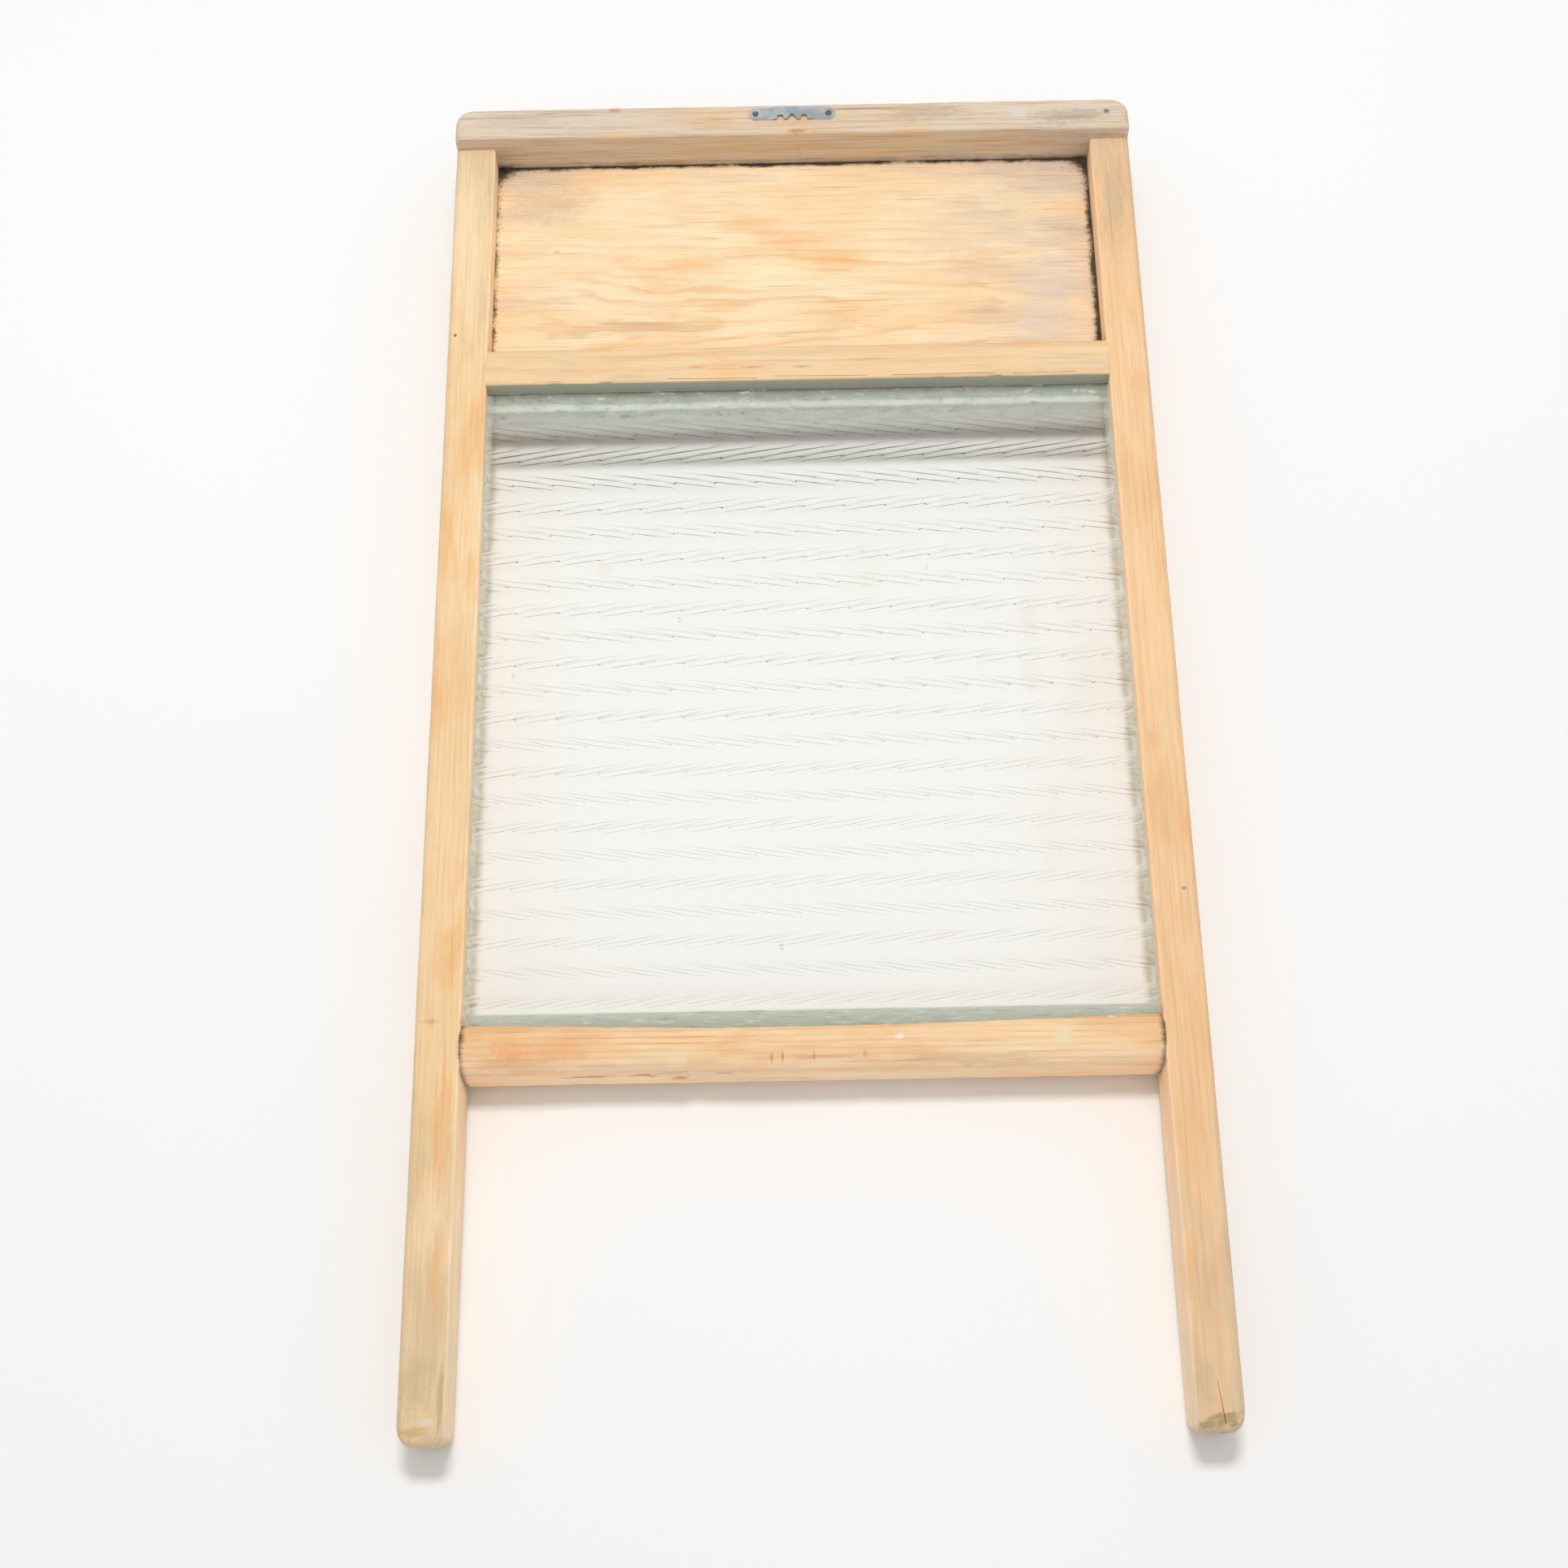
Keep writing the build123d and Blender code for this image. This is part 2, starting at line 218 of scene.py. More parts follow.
def build_worn_surface():
    """Old age on bare wood: greyed patches, open fibres, pale handled edges and settled dirt."""
    w, given, out = new_group(
        "worn_surface",
        [
            ("Vector", VECTOR, None),
            ("Color", COLOR, (0.8, 0.6, 0.4, 1.0)),
            ("Fibre", FLOAT, 0.5),
            ("Line", FLOAT, 0.0),
            ("Fibre Strength", FLOAT, 0.5),
            ("Wear", FLOAT, 0.0),
            ("Grime", FLOAT, 0.0),
            ("Wear Color", COLOR, (0.5, 0.4, 0.3, 1.0)),
            ("Grime Color", COLOR, (0.1, 0.08, 0.06, 1.0)),
            ("Weathering", FLOAT, 0.0),
            ("Weather Color", COLOR, (0.4, 0.36, 0.3, 1.0)),
        ],
        [("Color", COLOR), ("Dirt", FLOAT), ("Bare", FLOAT)],
    )
    vector = given.outputs["Vector"]
    fibre = given.outputs["Fibre"]
    broken = w.noise(w.stretch(vector, (90.0, 520.0, 520.0)), 1.0, 6.0, 0.7)
    patch = w.noise(w.stretch(vector, (22.0, 75.0, 75.0)), 1.0, 6.0, 0.66)
    grey_in = w.math("MULTIPLY_ADD", patch, 1.5, w.math("SUBTRACT", given.outputs["Weathering"], 1.15))
    grey = w.span(grey_in, -0.05, 0.62, 0.0, 0.9)
    colour = w.mix(grey, given.outputs["Color"], given.outputs["Weather Color"])
    open_in = w.math("MULTIPLY", w.span(fibre, 0.46, 0.72), given.outputs["Fibre Strength"])
    open_in = w.math("MULTIPLY", open_in, w.math("MULTIPLY_ADD", grey, 0.6, 0.8), clamp=True)
    colour = w.mix(open_in, colour, w.mix(1.0, colour, srgb(190, 158, 128), blend="MULTIPLY"))
    pale = w.math("MULTIPLY", w.span(fibre, 0.50, 0.32), 0.30)
    colour = w.mix(pale, colour, w.mix(1.0, colour, srgb(84, 76, 62), blend="ADD"))
    line = w.math("MULTIPLY", given.outputs["Line"], given.outputs["Fibre Strength"])
    colour = w.mix(line, colour, w.mix(1.0, colour, srgb(150, 118, 92), blend="MULTIPLY"))
    bare = w.span(w.math("MULTIPLY_ADD", broken, 0.9, w.math("SUBTRACT", given.outputs["Wear"], 0.62)), 0.05, 0.75)
    dirt = w.span(w.math("MULTIPLY_ADD", broken, 1.0, w.math("SUBTRACT", given.outputs["Grime"], 0.62)), 0.0, 0.6)
    colour = w.mix(w.math("MULTIPLY", bare, 0.75), colour, given.outputs["Wear Color"])
    colour = w.mix(dirt, colour, given.outputs["Grime Color"])
    w.join(colour, out.inputs["Color"])
    w.join(dirt, out.inputs["Dirt"])
    w.join(bare, out.inputs["Bare"])
    return w.tree


def build_blot():
    """A soft-edged blot of colour round a point, with a ragged rim."""
    w, given, out = new_group(
        "blot",
        [
            ("Vector", VECTOR, None),
            ("Color", COLOR, (0.5, 0.5, 0.5, 1.0)),
            ("Centre", VECTOR, None),
            ("Reach", VECTOR, (0.01, 0.01, 0.01)),
            ("Ragged", FLOAT, 0.3),
            ("Strength", FLOAT, 1.0),
            ("Blot Color", COLOR, (0.5, 0.5, 0.5, 1.0)),
        ],
        [("Color", COLOR)],
    )
    away = w.vector_math("SUBTRACT", given.outputs["Vector"], given.outputs["Centre"])
    scaled = w.vector_math("DIVIDE", away, given.outputs["Reach"])
    length = w.vector_math("LENGTH", scaled)
    rim = w.math("SUBTRACT", w.noise(w.vector_math("ADD", scaled, given.outputs["Centre"]), 1.7, 7.0, 0.74), 0.5)
    length = w.math("MULTIPLY_ADD", rim, w.math("MULTIPLY", given.outputs["Ragged"], 2.0), length)
    mask = w.span(length, 0.35, 1.1, 1.0, 0.0)
    mask = w.math("MULTIPLY", mask, given.outputs["Strength"])
    w.join(w.mix(mask, given.outputs["Color"], given.outputs["Blot Color"]), out.inputs["Color"])
    return w.tree


PINE_FIGURE = build_pine_figure()
WORN_SURFACE = build_worn_surface()
BLOT = build_blot()


# ---------------------------------------------------------------- materials
def new_material(name):
    """A node material with its shader and output, and a helper for its tree."""
    material = bpy.data.materials.new(name)
    material.use_nodes = True
    w = Weave(material.node_tree)
    return material, w, material.node_tree.nodes["Principled BSDF"]


def grain_vector(w, along, offset):
    """Object coordinates turned so that the grain runs along X, moved to fresh wood."""
    coords = w.add("ShaderNodeTexCoord").outputs["Object"]
    if along == "X":
        return coords, w.vector_math("ADD", coords, offset)
    parts = w.add("ShaderNodeSeparateXYZ")
    w.join(coords, parts.inputs[0])
    turned = w.add("ShaderNodeCombineXYZ")
    w.join(parts.outputs[1], turned.inputs[0])
    w.join(parts.outputs[0], turned.inputs[1])
    w.join(parts.outputs[2], turned.inputs[2])
    return coords, w.vector_math("ADD", turned.outputs[0], offset)


def attribute(w, name):
    node = w.add("ShaderNodeAttribute", attribute_name=name)
    return node.outputs["Fac"]


def pine(name, along, offset, early, late, heart, spacing, wander=0.004, weathering=None,
         weather_color=srgb(206, 186, 160), cloud_color=None, flame_color=srgb(242, 186, 124), flame=0.55,
         blots=(), drift=1.0, taper=0.0, uneven=1.2, ring_strength=0.75, fibre_strength=0.34, dirt=None,
          grime_color=srgb(78, 66, 54), figure_area=None, pale=None):
    """Bare old pine: rings, fibres, pale and dirty wear, and its own marks, with painted light on a shaded side where
    pale is given.
    """
    material, w, shader = new_material(name)
    coords, vector = grain_vector(w, along, offset)
    figure = place_group(w, PINE_FIGURE, Vector=vector, Heart=heart, Ring_Spacing=spacing, Wander=wander,
                         Drift=drift, Taper=taper, Uneven=uneven)
    ring, fibre, cloud, patch, line = (figure.outputs[n] for n in ("Ring", "Fibre", "Cloud", "Flame", "Line"))
    if figure_area is not None:
        ring = w.math("MULTIPLY", ring, figure_area(w, coords))
    colour = w.mix(w.span(cloud, 0.32, 0.68), early, cloud_color or early)
    colour = w.mix(w.math("MULTIPLY", w.span(patch, 0.50, 0.68), flame), colour, flame_color)
    colour = w.mix(w.math("MULTIPLY", ring, ring_strength), colour, late)
    weather = 0.0 if weathering is None else weathering(w, coords)
    grime = attribute(w, "grime") if dirt is None else dirt(w, coords)
    worn = place_group(
        w, WORN_SURFACE, Vector=vector, Color=colour, Fibre=fibre, Line=line, Fibre_Strength=fibre_strength,
        Wear=attribute(w, "wear"), Grime=grime, Wear_Color=srgb(216, 194, 160), Grime_Color=grime_color,
        Weathering=weather, Weather_Color=weather_color,
    )
    colour = worn.outputs["Color"]
    # Painted light: pale lightens the colour of a side that sits in shade.
    if pale is not None:
        colour = w.mix(pale(w, coords), colour, w.mix(1.0, colour, srgb(128, 124, 118), blend="ADD"))
    for centre, reach, ragged, strength, blot_color in blots:
        spot = place_group(w, BLOT, Vector=coords, Color=colour, Centre=centre, Reach=reach, Ragged=ragged,
                           Strength=strength, Blot_Color=blot_color)
        colour = spot.outputs["Color"]
    w.join(colour, shader.inputs["Base Color"])
    rough = w.math("MULTIPLY_ADD", fibre, 0.25, 0.52)
    rough = w.math("MULTIPLY_ADD", worn.outputs["Dirt"], 0.2, rough)
    w.join(w.math("MULTIPLY_ADD", worn.outputs["Bare"], 0.08, rough, clamp=True), shader.inputs["Roughness"])
    shader.inputs["Specular IOR Level"].default_value = 0.25
    height = w.math("MULTIPLY_ADD", ring, 0.22, w.math("MULTIPLY", fibre, -1.0))
    height = w.math("MULTIPLY_ADD", line, -0.6, height)
    height = w.math("MULTIPLY_ADD", worn.outputs["Dirt"], 0.5, height)
    bump = w.add("ShaderNodeBump")
    bump.inputs["Strength"].default_value = 0.32
    bump.inputs["Distance"].default_value = 0.0004
    w.join(height, bump.inputs["Height"])
    w.join(bump.outputs[0], shader.inputs["Normal"])
    return material


def separated(w, coords):
    """The three coordinates, apart."""
    parts = w.add("ShaderNodeSeparateXYZ")
    w.join(coords, parts.inputs[0])
    return parts.outputs


def foot_weather(w, coords):
    """Grey feet: the legs' last stretch stood in water. The top of each stile is greyed a little too."""
    x, y, z = separated(w, coords)
    foot = w.span(y, -0.10, FOOT + 0.004, 0.34, 0.80)
    top = w.span(y, SHOULDER - 0.085, SHOULDER, 0.0, 0.30)
    side = w.span(w.math("ABSOLUTE", x), HALF_WIDTH - 0.0035, HALF_WIDTH, 0.0, 0.28)
    return w.math("ADD", w.math("ADD", foot, top), side)


def inner_side(w, coords):
    """Painted light: the sides of the legs and stiles that face each other are made paler, standing in for light on
    these shaded sides.
    """
    x, y, z = separated(w, coords)
    return w.span(w.math("ABSOLUTE", x), HALF_OPENING + 0.0014, HALF_OPENING + 0.0003, 0.0, 0.85)


def under_side(w, coords):
    """Painted light: the side of the bottom rail toward the feet, turned from the lamp, is made paler."""
    x, y, z = separated(w, coords)
    return w.span(y, low_lo.y + 0.0075, low_lo.y + 0.0005, 0.0, 0.9)


def head_weather(w, coords):
    """The head rail is grey toward its ends and along its top."""
    x, y, z = separated(w, coords)
    side = w.span(w.math("ABSOLUTE", x), 0.02, HALF_WIDTH, 0.68, 0.86)
    return w.math("ADD", side, w.span(y, head_hi.y - 0.004, head_hi.y, 0.0, 0.2))


def board_weather(w, coords):
    """The board greys toward its sides and top, where wet cloths never rubbed it."""
    x, y, z = separated(w, coords)
    side = w.span(x, 0.02, HALF_OPENING, 0.18, 0.72)
    left = w.span(x, -0.06, -HALF_OPENING, 0.0, 0.34)
    top = w.span(y, 0.245, SHOULDER, 0.0, 0.26)
    return w.math("ADD", w.math("ADD", side, left), top)


def board_figure(w, coords):
    """The board's rings show most in its lower middle, and hardly at all along its top."""
    x, y, z = separated(w, coords)
    high = w.span(y, 0.262, 0.222, 0.30, 1.0)
    return w.math("MULTIPLY", high, w.span(w.math("ABSOLUTE", x), 0.07, 0.135, 1.0, 0.55))


def board_dirt(w, coords):
    """Dust packed into the seams round the board, thickest along the head rail and in its corners."""
    x, y, z = separated(w, coords)
    ragged = w.math("MULTIPLY", w.math("SUBTRACT", w.noise(coords, 90.0, 4.0, 0.6), 0.5), 0.006)
    top_gap = w.math("ADD", w.math("SUBTRACT", SHOULDER, y), ragged)
    right_gap = w.math("ADD", w.math("SUBTRACT", HALF_OPENING, x), ragged)
    left_gap = w.math("ADD", w.math("ADD", x, HALF_OPENING), ragged)
    low_gap = w.math("ADD", w.math("SUBTRACT", y, mid_hi.y), ragged)
    soft = w.math("POWER", w.span(top_gap, 0.0062, 0.0, smooth=False), 4.0)
    top = w.math("MULTIPLY", soft, 1.05)
    right = w.math("MULTIPLY", w.math("POWER", w.span(right_gap, 0.0080, 0.0, smooth=False), 3.4), 0.95)
    left = w.math("MULTIPLY", w.math("POWER", w.span(left_gap, 0.0055, 0.0, smooth=False), 3.8), 0.55)
    low = w.math("MULTIPLY", w.math("POWER", w.span(low_gap, 0.0040, -0.0006, smooth=False), 3.0), 0.6)
    corner_right = w.math("POWER", w.span(w.math("ADD", top_gap, right_gap), 0.024, 0.001, smooth=False), 3.0)
    corner_left = w.math("POWER", w.span(w.math("ADD", top_gap, left_gap), 0.026, 0.001, smooth=False), 3.0)
    foot_right = w.math("POWER", w.span(w.math("ADD", low_gap, right_gap), 0.016, 0.000, smooth=False), 3.0)
    mask = top
    for other in (right, left, low, corner_right, corner_left, foot_right):
        mask = w.math("MAXIMUM", mask, other)
    return mask


def rail_weather(w, coords):
    """A touch of grey along the whole rail, more on the side toward the feet."""
    x, y, z = separated(w, coords)
    return w.span(y, low_lo.y + 0.008, low_lo.y, 0.30, 0.66)


def even_weather(w, coords):
    """A little grey in patches."""
    x, y, z = separated(w, coords)
    return w.span(w.math("ABSOLUTE", x), 0.04, HALF_OPENING, 0.22, 0.42)


HEAD_FACE = 2 * MIDDLE
BOARD_TOP = board_hi.z

head_material = pine(
    "weathered_head_pine", "X", (0.3, 0.02, 0.0), srgb(230, 203, 170), srgb(214, 172, 130),
    (0.0, 0.09, -0.03), 0.0030, weathering=head_weather, weather_color=srgb(222, 209, 192),
    cloud_color=srgb(228, 202, 170), flame=0.35, fibre_strength=0.55,
    blots=[
        ((0.1464, 0.2962, HEAD_FACE), (0.0019, 0.0017, 0.006), 0.3, 0.8, srgb(110, 84, 62)),
        ((-0.0829, 0.3022, HEAD_FACE), (0.0040, 0.0026, 0.006), 0.9, 0.55, srgb(206, 122, 66)),
        ((-0.1300, 0.297, HEAD_FACE), (0.020, 0.006, 0.006), 1.6, 0.25, srgb(186, 172, 152)),
        ((0.0600, 0.297, HEAD_FACE), (0.022, 0.005, 0.006), 1.8, 0.40, srgb(176, 156, 130)),
        ((0.1300, 0.2935, HEAD_FACE), (0.018, 0.005, 0.006), 1.8, 0.42, srgb(164, 146, 126)),
        ((0.1055, 0.2960, HEAD_FACE), (0.0060, 0.0048, 0.006), 1.2, 0.62, srgb(222, 216, 206)),
        ((0.0020, 0.2880, HEAD_FACE), (0.0050, 0.0012, 0.008), 1.6, 0.55, srgb(158, 100, 56)),
        ((0.0030, 0.2860, 0.028), (0.0014, 0.004, 0.009), 1.2, 0.42, srgb(224, 176, 112)),
        ((-0.0790, 0.2872, HEAD_FACE), (0.005, 0.0012, 0.006), 1.0, 0.5, srgb(236, 202, 146)),
    ],
)
left_stile_material = pine(
    "left_stile_pine", "Y", (0.1, 0.31, 0.0), srgb(251, 222, 180), srgb(234, 188, 134),
    (0.0, 0.235, 0.052), 0.0023, wander=0.004, weathering=foot_weather, cloud_color=srgb(242, 204, 152),
    weather_color=srgb(222, 196, 158), ring_strength=0.45, flame=0.6, flame_color=srgb(242, 186, 122),
    fibre_strength=0.26, pale=inner_side,
    blots=[
        ((-0.1535, 0.1833, BACK), (0.0010, 0.0012, 0.003), 0.3, 0.85, srgb(120, 92, 70)),
        ((-0.1505, -0.1400, BACK), (0.0050, 0.0010, 0.003), 1.4, 0.28, srgb(150, 134, 120)),
        ((-0.1500, -0.1405, BACK), (0.0014, 0.0032, 0.003), 1.4, 0.22, srgb(156, 140, 124)),
        ((-0.1440, -0.180, BACK), (0.0050, 0.030, 0.004), 1.6, 0.5, srgb(240, 172, 108)),
        ((-0.1440, -0.240, BACK), (0.0040, 0.022, 0.004), 1.6, 0.4, srgb(234, 172, 114)),
        ((-0.1510, -0.2800, BACK), (0.0090, 0.0120, 0.004), 1.8, 0.30, srgb(184, 158, 124)),
        ((-0.1408, -0.2860, BACK), (0.0016, 0.0150, 0.004), 1.0, 0.45, srgb(170, 138, 96)),
        ((-0.1500, -0.2985, BACK), (0.0065, 0.0022, 0.006), 1.2, 0.50, srgb(198, 156, 98)),
        ((-0.1455, -0.2950, BACK), (0.0042, 0.0015, 0.006), 1.0, 0.60, srgb(226, 220, 200)),
        ((-0.1480, -0.3034, BACK - 0.003), (0.0100, 0.0026, 0.007), 0.8, 0.70, srgb(226, 206, 160)),
    ],
)
right_stile_material = pine(
    "right_stile_pine", "Y", (-0.2, -0.21, 0.01), srgb(250, 212, 166), srgb(230, 176, 120),
    (0.0, -0.105, 0.09), 0.0023, wander=0.004, weathering=foot_weather, cloud_color=srgb(240, 196, 148),
    weather_color=srgb(220, 196, 164), ring_strength=0.45, flame=0.6, flame_color=srgb(240, 182, 124),
    fibre_strength=0.28, pale=inner_side,
    blots=[
        ((0.1513, -0.0894, BACK), (0.0011, 0.0011, 0.003), 0.3, 0.75, srgb(126, 130, 134)),
        ((0.1500, -0.2988, BACK - 0.001), (0.0076, 0.0034, 0.006), 1.7, 0.66, srgb(150, 132, 92)),
        ((0.1425, -0.3008, BACK - 0.001), (0.0045, 0.0016, 0.006), 1.0, 0.60, srgb(158, 138, 96)),
        ((0.1430, -0.2850, BACK), (0.0050, 0.0100, 0.004), 1.8, 0.25, srgb(190, 164, 128)),
        ((0.1470, -0.3040, BACK - 0.004), (0.0110, 0.0020, 0.008), 0.8, 0.65, srgb(196, 188, 164)),
        ((0.1470, 0.2500, BACK), (0.0080, 0.0300, 0.004), 1.8, 0.42, srgb(190, 170, 140)),
    ],
)
middle_material = pine(
    "middle_rail_pine", "X", (0.05, -0.1, 0.02), srgb(245, 214, 172), srgb(228, 180, 128),
    (0.0, 0.012, -0.075), 0.0026, wander=0.004, cloud_color=srgb(240, 208, 162), weathering=even_weather,
    ring_strength=0.6, grime_color=srgb(178, 182, 168),
    blots=[
        ((-0.045, mid_lo.y + 0.0075, BACK), (0.0050, 0.0007, 0.003), 1.6, 0.55, srgb(206, 142, 86)),
        ((-0.020, mid_lo.y + 0.0070, BACK), (0.0060, 0.0007, 0.003), 1.6, 0.6, srgb(206, 142, 86)),
        ((0.002, mid_lo.y + 0.0068, BACK), (0.0050, 0.0007, 0.003), 1.6, 0.6, srgb(196, 134, 82)),
        ((0.0300, mid_lo.y + 0.0100, BACK), (0.0120, 0.0010, 0.003), 1.6, 0.3, srgb(206, 150, 100)),
        ((-0.0150, mid_lo.y + 0.0145, BACK), (0.0120, 0.0010, 0.004), 1.0, 0.45, srgb(222, 204, 184)),
        ((0.0040, mid_lo.y + 0.0132, BACK), (0.0120, 0.0010, 0.004), 1.0, 0.45, srgb(222, 204, 184)),
        ((0.0220, mid_lo.y + 0.0150, BACK), (0.0120, 0.0010, 0.004), 1.0, 0.40, srgb(222, 204, 184)),
    ],
)
bottom_material = pine(
    "bottom_rail_pine", "X", (-0.4, 0.16, 0.06), srgb(252, 220, 176), srgb(226, 164, 108),
    (0.0, 0.250, 0.150), 0.0027, wander=0.0035, weathering=rail_weather, cloud_color=srgb(240, 190, 138),
    weather_color=srgb(230, 200, 160), ring_strength=0.62, flame=0.5, uneven=0.5, pale=under_side,
    grime_color=srgb(96, 80, 62),
    blots=[
        ((0.0986, low_lo.y + 0.0105, BACK), (0.0048, 0.0052, 0.010), 0.25, 0.9, srgb(242, 222, 184)),
        ((0.0345, low_lo.y + 0.0112, BACK), (0.0022, 0.0014, 0.010), 0.4, 0.85, srgb(246, 240, 228)),
        ((0.1184, low_hi.y - 0.0020, BACK), (0.0016, 0.0012, 0.012), 0.4, 0.8, srgb(244, 238, 228)),
        ((0.0010, low_lo.y + 0.0040, BACK), (0.0240, 0.0008, 0.010), 1.8, 0.35, srgb(200, 134, 84)),
        # Painted shadow: the next two blots are thin dark lines along the splits and chipped steps in the side toward
        # the feet.
        ((-0.0880, low_lo.y + 0.0004, 0.0238), (0.0140, 0.0040, 0.0013), 1.6, 0.60, srgb(124, 90, 58)),
        ((-0.0660, low_lo.y + 0.0004, 0.0242), (0.0080, 0.0040, 0.0014), 1.6, 0.60, srgb(132, 94, 58)),
        ((-0.0525, low_lo.y + 0.0002, 0.0220), (0.0040, 0.0040, 0.0030), 1.2, 0.60, srgb(206, 132, 66)),
        ((-0.1185, low_lo.y + 0.0085, BACK), (0.0100, 0.0050, 0.010), 1.8, 0.42, srgb(240, 160, 96)),
        ((-0.0960, low_lo.y + 0.0075, BACK), (0.0120, 0.0040, 0.010), 1.8, 0.25, srgb(240, 166, 104)),
        ((-0.0161, low_lo.y + 0.0039, BACK), (0.0008, 0.0020, 0.010), 0.9, 0.5, srgb(176, 116, 70)),
        ((-0.0118, low_lo.y + 0.0042, BACK), (0.0007, 0.0022, 0.010), 0.9, 0.5, srgb(176, 116, 70)),
        ((0.0006, low_lo.y + 0.0044, BACK), (0.0006, 0.0020, 0.010), 0.9, 0.45, srgb(182, 120, 74)),
        ((0.0206, low_lo.y + 0.0046, BACK), (0.0012, 0.0014, 0.010), 0.9, 0.35, srgb(190, 124, 76)),
        ((0.0700, low_lo.y + 0.0030, BACK - 0.004), (0.0350, 0.0026, 0.008), 1.8, 0.35, srgb(190, 160, 118)),
        ((-0.1150, low_lo.y + 0.0030, BACK - 0.004), (0.0200, 0.0030, 0.008), 1.8, 0.25, srgb(190, 160, 118)),
    ],
)
board_material = pine(
    "back_board_pine", "X", (0.7, 0.0, 0.0), srgb(255, 233, 196), srgb(238, 186, 132),
    (0.62, 0.199, board_hi.z - 0.013), 0.0052, wander=0.022, weathering=board_weather,
    weather_color=srgb(222, 200, 180), cloud_color=srgb(250, 218, 172), drift=1.5, taper=0.05,
    uneven=0.85, ring_strength=0.72, flame=0.42, flame_color=srgb(246, 198, 142), fibre_strength=0.36,
    dirt=board_dirt, figure_area=board_figure, grime_color=srgb(84, 72, 60),
    blots=[
        ((-0.1104, 0.2378, BOARD_TOP), (0.0022, 0.0015, 0.003), 0.4, 0.42, srgb(236, 156, 104)),
        ((0.0040, 0.2430, BOARD_TOP), (0.0240, 0.0050, 0.003), 1.2, 0.42, srgb(246, 186, 124)),
        ((0.0180, 0.2310, BOARD_TOP), (0.0150, 0.0060, 0.003), 1.2, 0.42, srgb(246, 188, 126)),
        ((-0.0220, 0.2520, BOARD_TOP), (0.0180, 0.0030, 0.003), 1.2, 0.45, srgb(242, 184, 122)),
        ((-0.0500, 0.2290, BOARD_TOP), (0.0200, 0.0040, 0.003), 1.4, 0.4, srgb(246, 188, 126)),
        ((-0.0100, 0.2250, BOARD_TOP), (0.0260, 0.0070, 0.003), 1.4, 0.45, srgb(255, 234, 190)),
        ((-0.0620, 0.2340, BOARD_TOP), (0.0160, 0.0050, 0.003), 1.4, 0.40, srgb(255, 232, 186)),
        ((0.1150, 0.2080, BOARD_TOP), (0.0160, 0.0260, 0.003), 1.6, 0.34, srgb(220, 212, 206)),
        ((-0.1150, 0.2650, BOARD_TOP), (0.0220, 0.0120, 0.003), 1.6, 0.35, srgb(206, 178, 162)),
        ((0.0800, 0.2450, BOARD_TOP), (0.0350, 0.0200, 0.003), 1.6, 0.25, srgb(222, 190, 168)),
        ((-0.0700, 0.1950, BOARD_TOP), (0.0400, 0.0060, 0.003), 1.6, 0.3, srgb(206, 176, 142)),
        ((-0.0619, 0.2719, BOARD_TOP), (0.0050, 0.0004, 0.003), 0.5, 0.6, srgb(252, 240, 220)),
        ((-0.0067, 0.2683, BOARD_TOP), (0.0040, 0.0004, 0.003), 0.5, 0.6, srgb(252, 240, 220)),
        ((-0.0720, 0.2560, BOARD_TOP), (0.0060, 0.0005, 0.003), 0.6, 0.5, srgb(250, 236, 214)),
    ],
)


GLASS_MARKS = [
    ((0.0063, 0.1102, glass_hi.z), (0.0008, 0.0006, 0.02), 0.55, srgb(130, 136, 130)),
    ((0.0541, 0.0648, glass_hi.z), (0.0007, 0.0006, 0.02), 0.55, srgb(130, 136, 130)),
    ((-0.0529, 0.0417, glass_hi.z), (0.0010, 0.0007, 0.02), 0.55, srgb(124, 130, 126)),
    ((-0.1235, 0.0160, glass_hi.z), (0.0008, 0.0008, 0.02), 0.55, srgb(124, 130, 126)),
    ((-0.0115, -0.1080, glass_hi.z), (0.0009, 0.0007, 0.02), 0.60, srgb(118, 124, 120)),
    ((0.0969, 0.0394, glass_hi.z), (0.0060, 0.0120, 0.02), 0.14, srgb(246, 214, 150)),
    ((0.0960, 0.0122, glass_hi.z), (0.0050, 0.0100, 0.02), 0.14, srgb(246, 214, 150)),
    ((-0.0853, 0.0670, glass_hi.z), (0.0060, 0.0050, 0.02), 0.13, srgb(246, 220, 160)),
    ((-0.0692, 0.0350, glass_hi.z), (0.0060, 0.0040, 0.02), 0.12, srgb(246, 220, 160)),
    ((0.0542, -0.1041, glass_hi.z), (0.0060, 0.0040, 0.02), 0.12, srgb(246, 220, 160)),
]


